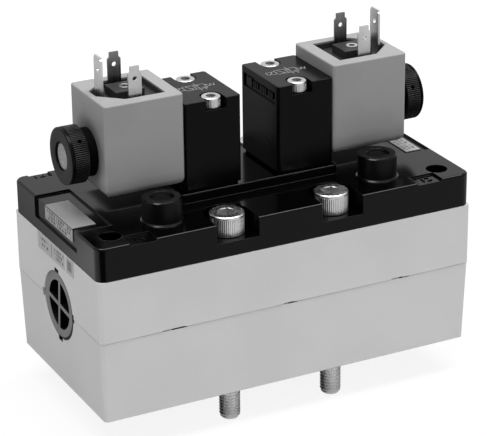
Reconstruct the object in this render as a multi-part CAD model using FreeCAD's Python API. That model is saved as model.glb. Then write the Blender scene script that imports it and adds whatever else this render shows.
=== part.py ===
import FreeCAD, Part
import math
import os

os.makedirs("parts", exist_ok=True)

# Double solenoid directional control valve for a base plate, in millimetres.
# X runs along the spool, the front is at -Y, and Z = 0 is the underside that meets the base plate.

# Cutting tools run past the faces they open
OVERCUT = 1.0

# Body casting
BODY_LENGTH = 153.2
BODY_WIDTH = 78.4
BODY_HEIGHT = 55.5
PARTING_HEIGHT = 31.6
BODY_DRAFT = 0.9
PARTING_STEP = 0.15
BODY_CORNER = 1.6
PARTING_SLIT_HEIGHT = 0.5
PARTING_SLIT_DEPTH = 0.4
PARTING_SLITS = [(-48.0, 9.0), (-1.0, 4.6), (45.0, 4.8)]

# Mounting screws and the screw holes through body and cover
SCREW_PITCH_X = 43.0
SCREW_EDGE = 9.2
SCREW_RADIUS = 4.0
SCREW_SHANK_RADIUS = 3.9
SCREW_LENGTH = 75.0
SCREW_HEAD_RADIUS = 6.5
SCREW_HEAD_HEIGHT = 8.0
SCREW_SOCKET = 6.0
SCREW_SOCKET_DEPTH = 4.0
SCREW_HOLE_PLAY = 0.45
SCREW_CHAMFER = 0.7

# Spool bore, sleeve, spool and pistons
SLEEVE_RADIUS = 11.0
SLEEVE_GAP = 0.5
SPOOL_RADIUS = 8.0
SPOOL_NECK_RADIUS = 5.0
SPOOL_TAIL_RADIUS = 4.0
RUNNING_FIT = 0.05
SEAT_FIT = 0.03
WINDOW_WIDTH = 5.0
WINDOW_BREADTH = 7.0
LAND_WIDTH = 4.0
LAND_OVERLAP = 0.5
PISTON_RADIUS = 11.9
PISTON_FIT = 0.1
PISTON_LENGTH = 7.0
PISTON_END_ROOM = 0.6
PISTON_SEAL_WIDTH = 2.4
PISTON_SEAL_DEPTH = 1.8
SLEEVE_SEAL_WIDTH = 1.8
SLEEVE_SEAL_DEPTH = 1.0

# Ports in the underside
PORT_LENGTH = 18.0
PORT_WIDTH = 9.0
PORT_ROW = 11.0
PILOT_PORT_RADIUS = 2.5
PILOT_PORT_INSET = 4.1
PILOT_PORT_EDGE = 4.0

# Flat gaskets
BASE_GASKET_WIDTH = 45.0
BASE_GASKET_THICKNESS = 1.5
BASE_GASKET_CORNER = 3.0
COVER_GASKET_MARGIN = 3.0
COVER_GASKET_THICKNESS = 0.8
GASKET_PLAY = 0.3

# Bayonet end plugs
PLUG_RADIUS = 12.9
PLUG_LENGTH = 14.0
PLUG_SINK = 0.5
PLUG_PLAY = 0.15
PLUG_RING = 3.4
PLUG_CAVITY = 7.0
PLUG_RIB = 2.0
PLUG_SEAL_WIDTH = 2.0
PLUG_SEAL_DEPTH = 1.4
LUG_REACH = 1.6
LUG_LENGTH = 3.0
LUG_WIDTH = 3.2
LUG_SETBACK = 4.0
LUG_PLAY = 0.2

# Cover
COVER_HEIGHT = 12.9
COVER_CORNER = 4.0
COVER_ROUND = 0.9
NOTCH_RADIUS = 8.5
NOTCH_DEPTH = 7.4
PAD_LENGTH = 65.0
PAD_WIDTH = 30.9
PAD_HEIGHT = 3.6
PAD_CORNER = 1.5
PAD_ROUND = 0.5
PLATE_RECESS_LENGTH = 14.0
PLATE_RECESS_DEPTH = 0.8
PLATE_RECESS_FLOOR = 4.7
LEFT_RECESS_SPAN = (-20.5, 18.5)
RIGHT_RECESS_SPAN = (-10.5, 20.5)
MARK_DEPTH = 0.8
FRONT_MARK = (23.1, 12.6, 7.2)
REAR_MARK = (13.8, 5.4, 5.6)
VENT_INSET_X = 9.3
VENT_INSET_Y = 9.7
VENT_RADIUS = 4.1
VENT_DEPTH = 10.0

# Name plates, folded over the left end and flat beside the right one
PLATE_THICKNESS = 0.4
PLATE_TOP_LENGTH = 8.9
PLATE_END_HEIGHT = 4.9
FOLDED_PLATE_SPAN = (-15.8, 9.4)
PLATE_BEND = 0.36
FLAT_PLATE_LENGTH = 6.4
FLAT_PLATE_INSET = 3.3
FLAT_PLATE_SPAN = (-7.8, 17.7)
RECESS_RIM = 0.8

# Label on the body's end
LABEL_WIDTH = 33.2
LABEL_HEIGHT = 6.4
LABEL_THICKNESS = 0.15
LABEL_DROP = 0.3

# Manual overrides
OVERRIDE_X = 44.5
OVERRIDE_INSET = 15.0
BOSS_RADIUS = 7.35
BOSS_HEIGHT = 9.0
BOSS_FOOT = 0.6
BOSS_ROUND = 0.5
BOSS_DISH_RADIUS = 4.5
BOSS_DISH_DEPTH = 0.8
BUTTON_RADIUS = 3.9
BUTTON_COLLAR = 0.8
BUTTON_COLLAR_LENGTH = 3.0
BUTTON_NECK_LENGTH = 1.6
BUTTON_STROKE = 2.0
BUTTON_FIT = 0.1
BUTTON_CHAMFER = 0.3
STEM_RADIUS = 1.4
STEM_LENGTH = 14.0
SPRING_WIRE = 0.7
SPRING_TURNS = 4.5
SPRING_PLAY = 0.05
SPRING_RUNS = 14
SPRING_SIDES = 6

# Pilot valve blocks
PILOT_GAP = 15.2
PILOT_LENGTH = 23.1
PILOT_WIDTH = 30.0
PILOT_HEIGHT = 33.4
PILOT_ROUND = 1.2
PILOT_TOP_ROUND = 0.4
PILOT_GASKET_THICKNESS = 1.2
PILOT_GASKET_MARGIN = 0.8
PILOT_SCREW_X = 10.1
PILOT_SCREW_PITCH = 21.2
PILOT_SCREW_RADIUS = 2.0
PILOT_SHANK_RADIUS = 1.95
PILOT_THREAD_LENGTH = 20.0
PILOT_SCREW_LENGTH = 38.0
PILOT_SCREW_CHAMFER = 0.35
PILOT_HEAD_RADIUS = 3.6
PILOT_HEAD_HEIGHT = 4.0
PILOT_SOCKET = 3.0
PILOT_SOCKET_DEPTH = 2.0
PILOT_HOLE_PLAY = 0.25
PILOT_NOTCH_PLAY = 0.5
PILOT_WINDOW = (25.2, 5.3, 2.3, 0.7)

# Solenoid axis, armature and guide tube
AXIS_RISE = 16.4
TUBE_RADIUS = 6.5
TUBE_BORE = 5.0
TUBE_FLANGE_RADIUS = 9.0
TUBE_FLANGE_LENGTH = 3.0
ARMATURE_GAP = 1.0
ARMATURE_LENGTH = 22.0
ARMATURE_START = 0.4
ARMATURE_FIT = 0.1
ARMATURE_CHAMFER = 0.5
ARMATURE_SPRING_RADIUS = 3.2
ARMATURE_SPRING_DEPTH = 8.0
ARMATURE_WIRE = 0.6
NOZZLE_RADIUS = 2.0
VALVE_ROOM_DEPTH = 6.0

# Coils
COIL_LENGTH = 31.2
COIL_WIDTH = 30.4
COIL_TOP_RISE = 21.6
COIL_DROP = 13.6
COIL_ROUND = 1.2
COIL_FOOT_ROUND = 2.8
COIL_TOP_ROUND = 0.6
COIL_BORE_PLAY = 0.1

# Connector window and base, measured from the coil's inner end
WINDOW_START = 5.2
WINDOW_CORNER = 20.8
WINDOW_END = 29.0
WINDOW_HALF_WIDTH = 10.8
WINDOW_NOSE = 3.1
WINDOW_DEPTH = 4.7
CONNECTOR_CENTRE = 16.3
BASE_THICKNESS = 2.0
BASE_PLAY = 0.15
BLOCK_LENGTH = 11.2
BLOCK_WIDTH = 10.4
BLOCK_HEIGHT = 3.4
INSERT_RADIUS = 2.3
INSERT_BORE = 1.25
INSERT_LENGTH = 4.2
INSERT_STAND = 0.3
INSERT_FLOOR = 1.0

# Terminals
TAB_THICKNESS = 0.8
TAB_PITCH = 18.0
TAB_WIDTH = 5.2
TAB_TIP_WIDTH = 3.6
TAB_LENGTH = 15.9
TAB_SHOULDER = 2.6
TAB_HOLE_RADIUS = 0.9
TAB_HOLE_DROP = 4.7
EARTH_OFFSET = 10.0
EARTH_WIDTH = 6.3
EARTH_TIP_WIDTH = 5.3
EARTH_LENGTH = 18.6
EARTH_SHOULDER = 1.2
TAB_PLAY = 0.1
SHOULDER_SLOPE = 0.7

# Ring nuts, collars and filters
COLLAR_RADIUS = 9.0
COLLAR_LENGTH = 3.5
NUT_RADIUS = 10.7
NUT_LENGTH = 7.4
NUT_RIM_ROUND = 1.0
NUT_RIM_BEVEL = 0.3
NUT_CHAMFER = 0.5
NUT_VENT = 3.0
NUT_GROOVE_WIDTH = 0.6
NUT_GROOVE_DEPTH = 0.4
NUT_GROOVE_SETBACK = 1.5
NUT_WALL = 2.4
FILTER_RADIUS = 5.3
FILTER_THICKNESS = 0.8
FILTER_SINK = 0.7
CORE_LENGTH = 18.0
CORE_VENT = 1.0

# Heights and stations that follow from the sizes above
HALF_LENGTH = BODY_LENGTH / 2
HALF_WIDTH = BODY_WIDTH / 2
OVERRIDE_Y = OVERRIDE_INSET - HALF_WIDTH
VENT_X = HALF_LENGTH - VENT_INSET_X
VENT_Y = VENT_INSET_Y - HALF_WIDTH
COVER_TOP = BODY_HEIGHT + COVER_HEIGHT
PAD_TOP = COVER_TOP + PAD_HEIGHT
PILOT_BOTTOM = PAD_TOP + PILOT_GASKET_THICKNESS
PILOT_TOP = PILOT_BOTTOM + PILOT_HEIGHT
AXIS_HEIGHT = PILOT_BOTTOM + AXIS_RISE
NOTCH_FLOOR = COVER_TOP - NOTCH_DEPTH
SCREW_X = SCREW_PITCH_X / 2
SCREW_Y = HALF_WIDTH - SCREW_EDGE
SCREW_HOLE = SCREW_RADIUS + SCREW_HOLE_PLAY
BORE_RADIUS = SLEEVE_RADIUS + SEAT_FIT
CHAMBER_RADIUS = PISTON_RADIUS + PISTON_FIT
PLUG_BORE = PLUG_RADIUS + PLUG_PLAY
PLUG_FACE = HALF_LENGTH - PLUG_SINK
PLUG_INNER = PLUG_FACE - PLUG_LENGTH
SPOOL_STROKE = LAND_WIDTH + WINDOW_WIDTH
END_LAND_REACH = PLUG_INNER - PISTON_END_ROOM - SPOOL_STROKE / 2 - PISTON_LENGTH
SLEEVE_END = END_LAND_REACH - SPOOL_STROKE / 2 - SLEEVE_GAP
PORT_PITCH = SLEEVE_END / 3
PILOT_PORT_X = PLUG_INNER - PILOT_PORT_INSET
BASE_GASKET_LENGTH = 2 * (PILOT_PORT_X + PILOT_PORT_EDGE)
PILOT_INNER = PILOT_GAP / 2
PILOT_OUTER = PILOT_INNER + PILOT_LENGTH
PILOT_SCREW_AT = PILOT_INNER + PILOT_SCREW_X
PILOT_SCREW_SEAT = PILOT_TOP - PILOT_HEAD_HEIGHT
PILOT_THREAD_END = PILOT_SCREW_SEAT - PILOT_SCREW_LENGTH + PILOT_THREAD_LENGTH
COIL_OUTER = PILOT_OUTER + COIL_LENGTH
COIL_TOP = AXIS_HEIGHT + COIL_TOP_RISE
COIL_BOTTOM = AXIS_HEIGHT - COIL_DROP
COLLAR_OUTER = COIL_OUTER + COLLAR_LENGTH
NUT_OUTER = COLLAR_OUTER + NUT_LENGTH
TUBE_INNER = PILOT_OUTER - TUBE_FLANGE_LENGTH
TUBE_OUTER = NUT_OUTER - NUT_WALL
CORE_INNER = TUBE_OUTER - CORE_LENGTH
ARMATURE_OUTER = CORE_INNER - ARMATURE_GAP
ARMATURE_INNER = ARMATURE_OUTER - ARMATURE_LENGTH
CONNECTOR_X = PILOT_OUTER + CONNECTOR_CENTRE
BASE_FLOOR = COIL_TOP - WINDOW_DEPTH
BASE_TOP = BASE_FLOOR + BASE_THICKNESS
BLOCK_TOP = BASE_TOP + BLOCK_HEIGHT
BUTTON_TOP = COVER_TOP + BOSS_HEIGHT - BOSS_DISH_DEPTH
BUTTON_LIP = BUTTON_TOP - BUTTON_NECK_LENGTH
BUTTON_FOOT = BUTTON_LIP - BUTTON_COLLAR_LENGTH
OVERRIDE_BORE = BUTTON_RADIUS + BUTTON_COLLAR + BUTTON_FIT

X_AXIS = FreeCAD.Vector(1, 0, 0)
Y_AXIS = FreeCAD.Vector(0, 1, 0)
Z_AXIS = FreeCAD.Vector(0, 0, 1)
ORIGIN = FreeCAD.Vector(0, 0, 0)


def box(x0, x1, y0, y1, z0, z1):
    """Axis-aligned block between two corners."""
    return Part.makeBox(x1 - x0, y1 - y0, z1 - z0, FreeCAD.Vector(x0, y0, z0))


def rod(radius, x0, x1, y=0.0, z=0.0):
    """Cylinder along X."""
    return Part.makeCylinder(radius, x1 - x0, FreeCAD.Vector(x0, y, z), X_AXIS)


def post(radius, z0, z1, x=0.0, y=0.0):
    """Cylinder along Z."""
    return Part.makeCylinder(radius, z1 - z0, FreeCAD.Vector(x, y, z0), Z_AXIS)


def round_edges(shape, radius, wanted):
    """Fillet the edges that the test picks."""
    return shape.makeFillet(radius, [edge for edge in shape.Edges if wanted(edge)])


def is_upright(edge):
    """True for an edge that runs from one height to another."""
    ends = [vertex.Z for vertex in edge.Vertexes]
    return len(ends) == 2 and abs(ends[0] - ends[1]) > 0.01


def lies_at(edge, height):
    """True for an edge that lies whole at one height."""
    return abs(edge.BoundBox.ZMin - height) < 0.01 and abs(edge.BoundBox.ZMax - height) < 0.01


def rounded_block(x0, x1, y0, y1, z0, z1, corner, top_round=0.0):
    """Block with rounded vertical corners and, where asked, a rounded top edge."""
    block = round_edges(box(x0, x1, y0, y1, z0, z1), corner, is_upright)
    if top_round > 0:
        block = round_edges(block, top_round, lambda edge: lies_at(edge, z1))
    return block


def slot(length_x, length_y, z0, z1, x, y):
    """Upright slot with round ends, as long in Y as asked."""
    end = length_x / 2
    reach = length_y / 2 - end
    middle = box(x - end, x + end, y - reach, y + reach, z0, z1)
    ends = post(end, z0, z1, x, y - reach).fuse(post(end, z0, z1, x, y + reach))
    return middle.fuse(ends).removeSplitter()


def revolve(points, about=X_AXIS, base=ORIGIN):
    """Full turn of a closed outline."""
    outline = Part.makePolygon(points + [points[0]])
    return Part.Face(outline).revolve(base, about, 360)


def turned_x(profile, y=0.0, z=0.0):
    """Full turn about an X axis of (x, radius) pairs."""
    points = [FreeCAD.Vector(x, y, z + radius) for x, radius in profile]
    return revolve(points, X_AXIS, FreeCAD.Vector(0, y, z))


def turned_z(profile, x=0.0, y=0.0):
    """Full turn about a Z axis of (radius, z) pairs."""
    points = [FreeCAD.Vector(x + radius, y, z) for radius, z in profile]
    return revolve(points, Z_AXIS, FreeCAD.Vector(x, y, 0))


def ring_x(outer, inner, x0, x1, z=0.0):
    """Plain ring about an X axis."""
    return turned_x([(x0, inner), (x1, inner), (x1, outer), (x0, outer)], 0.0, z)


def hexagon(across_flats, z0, z1, x, y):
    """Upright hexagonal prism."""
    reach = across_flats / math.sqrt(3)
    corners = []
    for step in range(7):
        angle = math.radians(60 * step)
        corners.append(FreeCAD.Vector(x + reach * math.cos(angle), y + reach * math.sin(angle), z0))
    return Part.Face(Part.makePolygon(corners)).extrude(FreeCAD.Vector(0, 0, z1 - z0))


def mirrored(shape):
    """The same piece for the valve's other end."""
    return shape.mirror(ORIGIN, X_AXIS)


def both_ends(shape):
    """A piece and its mirror image."""
    return [shape, mirrored(shape)]


def screw_places():
    """Axes of the four mounting screws."""
    return [(x, y) for x in (-SCREW_X, SCREW_X) for y in (-SCREW_Y, SCREW_Y)]


def cap_screw(
    radius, shank_radius, thread_end, length, head_radius, head_height, socket, socket_depth, chamfer,
    seat, x, y,
):
    """Socket head cap screw that hangs from its seat, its shank a little thinner above the thread."""
    top = seat + head_height
    tip = seat - length
    profile = [
        (0, tip),
        (radius - chamfer, tip),
        (radius, tip + chamfer),
        (radius, thread_end),
        (shank_radius, thread_end),
        (shank_radius, seat),
        (head_radius, seat),
        (head_radius, top - chamfer),
        (head_radius - chamfer, top),
        (0, top),
    ]
    return turned_z(profile, x, y).cut(hexagon(socket, top - socket_depth, top + OVERCUT, x, y))


def frustum(half_x, half_y, draft, height):
    """Block whose sides lean in towards the underside."""
    wedge = Part.makeWedge(
        -half_x + draft, 0, -half_y + draft, -half_y, -half_x,
        half_x - draft, height, half_y - draft, half_y, half_x,
    )
    wedge.rotate(ORIGIN, X_AXIS, 90)
    return round_edges(wedge, BODY_CORNER, is_upright)


def port_stations():
    """Ports along the spool with the side of the row each lies on."""
    return [(-2 * PORT_PITCH, -1), (-PORT_PITCH, 1), (0.0, -1), (PORT_PITCH, 1), (2 * PORT_PITCH, -1)]


def port_cuts(z0, z1, margin=0.0):
    """The five port slots and two pilot ports between two heights."""
    cuts = []
    for x, side in port_stations():
        cuts.append(slot(PORT_WIDTH + 2 * margin, PORT_LENGTH + 2 * margin, z0, z1, x, side * PORT_ROW))
    cuts += [post(PILOT_PORT_RADIUS + margin, z0, z1, x) for x in (-PILOT_PORT_X, PILOT_PORT_X)]
    return cuts


def plug_seat():
    """Room for the right end plug: bore, lug groove and the four entry notches."""
    groove_end = PLUG_FACE - LUG_SETBACK + LUG_PLAY
    groove_start = PLUG_FACE - LUG_SETBACK - LUG_LENGTH - LUG_PLAY
    reach = PLUG_BORE + LUG_REACH
    seat = rod(PLUG_BORE, PLUG_INNER, HALF_LENGTH + OVERCUT, 0, PARTING_HEIGHT)
    seat = seat.fuse(rod(reach, groove_start, groove_end, 0, PARTING_HEIGHT))
    half = LUG_WIDTH / 2 + LUG_PLAY
    bar = box(groove_start, HALF_LENGTH + OVERCUT, -half, half, -reach, reach)
    for turn in (0, 90):
        notch = bar.copy()
        notch.rotate(ORIGIN, X_AXIS, turn)
        notch.translate(FreeCAD.Vector(0, 0, PARTING_HEIGHT))
        seat = seat.fuse(notch)
    return seat


def make_body():
    """Casting with the spool bore, plug seats, ports, screw holes and gasket recesses."""
    lower = frustum(HALF_LENGTH - PARTING_STEP, HALF_WIDTH - PARTING_STEP, BODY_DRAFT, PARTING_HEIGHT)
    upper = rounded_block(
        -HALF_LENGTH, HALF_LENGTH, -HALF_WIDTH, HALF_WIDTH, PARTING_HEIGHT, BODY_HEIGHT, BODY_CORNER
    )
    body = lower.fuse(upper)
    cuts = [rod(BORE_RADIUS, -HALF_LENGTH, HALF_LENGTH, 0, PARTING_HEIGHT)]
    chamber = rod(CHAMBER_RADIUS, SLEEVE_END, PLUG_FACE, 0, PARTING_HEIGHT)
    cuts += both_ends(chamber) + both_ends(plug_seat())
    cuts += port_cuts(-OVERCUT, PARTING_HEIGHT)
    cuts += [post(SCREW_HOLE, -OVERCUT, BODY_HEIGHT + OVERCUT, x, y) for x, y in screw_places()]
    cuts.append(rounded_block(
        -BASE_GASKET_LENGTH / 2 - GASKET_PLAY, BASE_GASKET_LENGTH / 2 + GASKET_PLAY,
        -BASE_GASKET_WIDTH / 2 - GASKET_PLAY, BASE_GASKET_WIDTH / 2 + GASKET_PLAY,
        -OVERCUT, BASE_GASKET_THICKNESS, BASE_GASKET_CORNER,
    ))
    cuts.append(cover_gasket_block(GASKET_PLAY, BODY_HEIGHT + OVERCUT))
    cuts += [post(STEM_RADIUS + BUTTON_FIT, BODY_HEIGHT - STEM_LENGTH, BODY_HEIGHT + OVERCUT, x, OVERRIDE_Y)
             for x in (-OVERRIDE_X, OVERRIDE_X)]
    for x, length in PARTING_SLITS:
        cuts.append(box(
            x - length / 2, x + length / 2, -HALF_WIDTH - OVERCUT, -HALF_WIDTH + PARTING_SLIT_DEPTH,
            PARTING_HEIGHT, PARTING_HEIGHT + PARTING_SLIT_HEIGHT,
        ))
    for cut in cuts:
        body = body.cut(cut)
    return body.removeSplitter()


def cover_gasket_block(margin, top):
    """Outline of the cover gasket, widened by a margin."""
    reach_x = HALF_LENGTH - COVER_GASKET_MARGIN + margin
    reach_y = HALF_WIDTH - COVER_GASKET_MARGIN + margin
    bottom = BODY_HEIGHT - COVER_GASKET_THICKNESS
    return rounded_block(-reach_x, reach_x, -reach_y, reach_y, bottom, top, COVER_CORNER)


def make_cover_gasket():
    """Flat gasket let into the top of the body."""
    gasket = cover_gasket_block(0.0, BODY_HEIGHT)
    for x, y in screw_places():
        gasket = gasket.cut(post(SCREW_HOLE, 0, BODY_HEIGHT + OVERCUT, x, y))
    for x in (-OVERRIDE_X, OVERRIDE_X):
        gasket = gasket.cut(post(STEM_RADIUS + BUTTON_FIT, 0, BODY_HEIGHT + OVERCUT, x, OVERRIDE_Y))
    return gasket


def make_base_gasket():
    """Flat gasket let into the underside, with the port openings."""
    gasket = rounded_block(
        -BASE_GASKET_LENGTH / 2, BASE_GASKET_LENGTH / 2,
        -BASE_GASKET_WIDTH / 2, BASE_GASKET_WIDTH / 2, 0, BASE_GASKET_THICKNESS, BASE_GASKET_CORNER,
    )
    for cut in port_cuts(-OVERCUT, BASE_GASKET_THICKNESS + OVERCUT, GASKET_PLAY):
        gasket = gasket.cut(cut)
    return gasket


def screw_notch(x, side):
    """Open notch over a mounting screw, round behind the head."""
    y = side * SCREW_Y
    edge = side * (HALF_WIDTH + OVERCUT)
    notch = post(NOTCH_RADIUS, NOTCH_FLOOR, COVER_TOP + OVERCUT, x, y)
    lane = box(
        x - NOTCH_RADIUS, x + NOTCH_RADIUS, min(y, edge), max(y, edge),
        NOTCH_FLOOR, COVER_TOP + OVERCUT,
    )
    return notch.fuse(lane)


def folded_recess():
    """Folded recess for a name plate, drawn at the cover's right end."""
    front, back = LEFT_RECESS_SPAN
    top = box(
        HALF_LENGTH - PLATE_RECESS_LENGTH, HALF_LENGTH + OVERCUT, front, back,
        COVER_TOP - PLATE_RECESS_DEPTH, COVER_TOP + OVERCUT,
    )
    end = box(
        HALF_LENGTH - PLATE_RECESS_DEPTH, HALF_LENGTH + OVERCUT, front, back,
        BODY_HEIGHT + PLATE_RECESS_FLOOR, COVER_TOP + OVERCUT,
    )
    return top.fuse(end)


def flat_recess():
    """Recess for the flat name plate, closed by a rim at the cover's right end."""
    front, back = RIGHT_RECESS_SPAN
    return box(
        HALF_LENGTH - PLATE_RECESS_LENGTH, HALF_LENGTH - RECESS_RIM, front, back,
        COVER_TOP - PLATE_RECESS_DEPTH, COVER_TOP + OVERCUT,
    )


def mark_pockets():
    """Shallow pockets in the cover's long edges at the right end."""
    floor = COVER_TOP - MARK_DEPTH
    pockets = []
    for (inner, outer, depth), side in ((FRONT_MARK, -1), (REAR_MARK, 1)):
        edges = sorted((side * (HALF_WIDTH - depth), side * (HALF_WIDTH + OVERCUT)))
        pockets.append(box(HALF_LENGTH - inner, HALF_LENGTH - outer, *edges, floor, COVER_TOP + OVERCUT))
    return pockets


def override_boss(x):
    """Round boss with a spreading foot."""
    top = COVER_TOP + BOSS_HEIGHT
    return turned_z([
        (0, COVER_TOP - OVERCUT),
        (BOSS_RADIUS + BOSS_FOOT, COVER_TOP - OVERCUT),
        (BOSS_RADIUS + BOSS_FOOT, COVER_TOP),
        (BOSS_RADIUS, COVER_TOP + BOSS_FOOT),
        (BOSS_RADIUS, top - BOSS_ROUND),
        (BOSS_RADIUS - BOSS_ROUND, top),
        (0, top),
    ], x, OVERRIDE_Y)


def override_bore(x):
    """Dished mouth, lip and spring room of an override."""
    top = COVER_TOP + BOSS_HEIGHT
    mouth = BUTTON_RADIUS + BUTTON_FIT
    return turned_z([
        (0, BODY_HEIGHT - OVERCUT),
        (OVERRIDE_BORE, BODY_HEIGHT - OVERCUT),
        (OVERRIDE_BORE, BUTTON_LIP),
        (mouth, BUTTON_LIP),
        (mouth, BUTTON_TOP),
        (BOSS_DISH_RADIUS, top),
        (BOSS_DISH_RADIUS, top + OVERCUT),
        (0, top + OVERCUT),
    ], x, OVERRIDE_Y)


def make_cover():
    """Cover with pad, override bosses, screw notches and recesses."""
    cover = rounded_block(
        -HALF_LENGTH, HALF_LENGTH, -HALF_WIDTH, HALF_WIDTH, BODY_HEIGHT, COVER_TOP, COVER_CORNER, COVER_ROUND
    )
    for x, y in screw_places():
        cover = cover.cut(screw_notch(x, math.copysign(1, y)))
        cover = cover.cut(post(SCREW_HOLE, BODY_HEIGHT - OVERCUT, COVER_TOP, x, y))
    cover = cover.cut(flat_recess()).cut(mirrored(folded_recess()))
    for pocket in mark_pockets():
        for cut in both_ends(pocket):
            cover = cover.cut(cut)
    pad = rounded_block(
        -PAD_LENGTH / 2, PAD_LENGTH / 2, -PAD_WIDTH / 2, PAD_WIDTH / 2,
        COVER_TOP - OVERCUT, PAD_TOP, PAD_CORNER, PAD_ROUND,
    )
    cover = cover.fuse(pad)
    for x in (-OVERRIDE_X, OVERRIDE_X):
        cover = cover.fuse(override_boss(x)).cut(override_bore(x))
    for x in (-VENT_X, VENT_X):
        cover = cover.cut(post(VENT_RADIUS, COVER_TOP - VENT_DEPTH, COVER_TOP + OVERCUT, x, VENT_Y))
    for x, y in pilot_screw_places():
        cover = cover.cut(post(
            PILOT_SCREW_RADIUS + SEAT_FIT, PILOT_SCREW_SEAT - PILOT_SCREW_LENGTH - OVERCUT,
            PAD_TOP + OVERCUT, x, y,
        ))
    return cover.removeSplitter()


def pilot_screw_places():
    """Axes of the four pilot screws."""
    half = PILOT_SCREW_PITCH / 2
    return [(x, y) for x in (-PILOT_SCREW_AT, PILOT_SCREW_AT) for y in (-half, half)]


def make_mounting_screws():
    """The four screws through cover and body."""
    return Part.makeCompound([
        cap_screw(
            SCREW_RADIUS, SCREW_SHANK_RADIUS, 0, SCREW_LENGTH, SCREW_HEAD_RADIUS, SCREW_HEAD_HEIGHT,
            SCREW_SOCKET, SCREW_SOCKET_DEPTH, SCREW_CHAMFER, NOTCH_FLOOR, x, y,
        )
        for x, y in screw_places()
    ])


def make_pilot_screws():
    """The four screws that hold the pilot blocks."""
    return Part.makeCompound([
        cap_screw(
            PILOT_SCREW_RADIUS, PILOT_SHANK_RADIUS, PILOT_THREAD_END, PILOT_SCREW_LENGTH,
            PILOT_HEAD_RADIUS, PILOT_HEAD_HEIGHT,
            PILOT_SOCKET, PILOT_SOCKET_DEPTH, PILOT_SCREW_CHAMFER, PILOT_SCREW_SEAT, x, y,
        )
        for x, y in pilot_screw_places()
    ])


def make_plug():
    """Right end plug: cross-ribbed cup with bayonet lugs and a seal groove."""
    plug = rod(PLUG_RADIUS, PLUG_INNER, PLUG_FACE, 0, 0)
    floor = PLUG_FACE - PLUG_CAVITY
    cavity = rod(PLUG_RADIUS - PLUG_RING, floor, PLUG_FACE + OVERCUT, 0, 0)
    rib = box(floor, PLUG_FACE + OVERCUT, -PLUG_RIB / 2, PLUG_RIB / 2, -PLUG_RADIUS, PLUG_RADIUS)
    cross = rib.copy()
    cross.rotate(ORIGIN, X_AXIS, 90)
    plug = plug.cut(cavity.cut(rib.fuse(cross)))
    lug_start = PLUG_FACE - LUG_SETBACK - LUG_LENGTH
    bar = box(
        lug_start, lug_start + LUG_LENGTH, -LUG_WIDTH / 2, LUG_WIDTH / 2,
        PLUG_RADIUS - OVERCUT, PLUG_RADIUS + LUG_REACH,
    )
    for turn in (45, 135, 225, 315):
        lug = bar.copy()
        lug.rotate(ORIGIN, X_AXIS, turn)
        plug = plug.fuse(lug)
    seal_at = PLUG_INNER + PLUG_SEAL_WIDTH
    plug = plug.cut(ring_x(
        PLUG_RADIUS + OVERCUT, PLUG_RADIUS - PLUG_SEAL_DEPTH, seal_at, seal_at + PLUG_SEAL_WIDTH
    ))
    plug.translate(FreeCAD.Vector(0, 0, PARTING_HEIGHT))
    return plug.removeSplitter()


def make_plug_seals():
    """Seal rings of both end plugs."""
    start = PLUG_INNER + PLUG_SEAL_WIDTH
    seal = ring_x(
        PLUG_RADIUS, PLUG_RADIUS - PLUG_SEAL_DEPTH, start, start + PLUG_SEAL_WIDTH, PARTING_HEIGHT
    )
    return Part.makeCompound(both_ends(seal))


def seal_stations():
    """Middles of the sleeve's seal grooves: one each side of every port window."""
    return [PORT_PITCH * (step - 2.5) for step in range(6)]


def make_sleeve():
    """Ported sleeve with a groove between each pair of windows."""
    sleeve = ring_x(SLEEVE_RADIUS, SPOOL_RADIUS + RUNNING_FIT, -SLEEVE_END, SLEEVE_END)
    for x, side in port_stations():
        window = box(
            x - WINDOW_WIDTH / 2, x + WINDOW_WIDTH / 2,
            -WINDOW_BREADTH / 2, WINDOW_BREADTH / 2, -SLEEVE_RADIUS - OVERCUT, SLEEVE_RADIUS + OVERCUT,
        )
        sleeve = sleeve.cut(window)
        window.rotate(ORIGIN, X_AXIS, 90)
        sleeve = sleeve.cut(window)
    for x in seal_stations():
        sleeve = sleeve.cut(ring_x(
            SLEEVE_RADIUS + OVERCUT, SLEEVE_RADIUS - SLEEVE_SEAL_DEPTH,
            x - SLEEVE_SEAL_WIDTH / 2, x + SLEEVE_SEAL_WIDTH / 2,
        ))
    sleeve.translate(FreeCAD.Vector(0, 0, PARTING_HEIGHT))
    return sleeve


def make_sleeve_seals():
    """Six rings in the sleeve's grooves."""
    return Part.makeCompound([
        ring_x(
            SLEEVE_RADIUS, SLEEVE_RADIUS - SLEEVE_SEAL_DEPTH,
            x - SLEEVE_SEAL_WIDTH / 2, x + SLEEVE_SEAL_WIDTH / 2, PARTING_HEIGHT,
        )
        for x in seal_stations()
    ])


def spool_shift():
    """The spool rests at the left end of its stroke."""
    return -SPOOL_STROKE / 2


def make_spool():
    """Spool with four lands and a tail at each end for the pistons."""
    land_mid = PORT_PITCH
    end_land = 2 * PORT_PITCH + WINDOW_WIDTH / 2 + SPOOL_STROKE / 2 + LAND_OVERLAP
    half = [
        (0, SPOOL_NECK_RADIUS),
        (land_mid - LAND_WIDTH / 2, SPOOL_NECK_RADIUS),
        (land_mid - LAND_WIDTH / 2, SPOOL_RADIUS),
        (land_mid + LAND_WIDTH / 2, SPOOL_RADIUS),
        (land_mid + LAND_WIDTH / 2, SPOOL_NECK_RADIUS),
        (end_land, SPOOL_NECK_RADIUS),
        (end_land, SPOOL_RADIUS),
        (END_LAND_REACH, SPOOL_RADIUS),
        (END_LAND_REACH, SPOOL_TAIL_RADIUS),
        (END_LAND_REACH + PISTON_LENGTH, SPOOL_TAIL_RADIUS),
        (END_LAND_REACH + PISTON_LENGTH, 0),
    ]
    profile = [(-x, radius) for x, radius in reversed(half)] + half[1:]
    spool = turned_x(profile, 0, PARTING_HEIGHT)
    spool.translate(FreeCAD.Vector(spool_shift(), 0, 0))
    return spool


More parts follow.
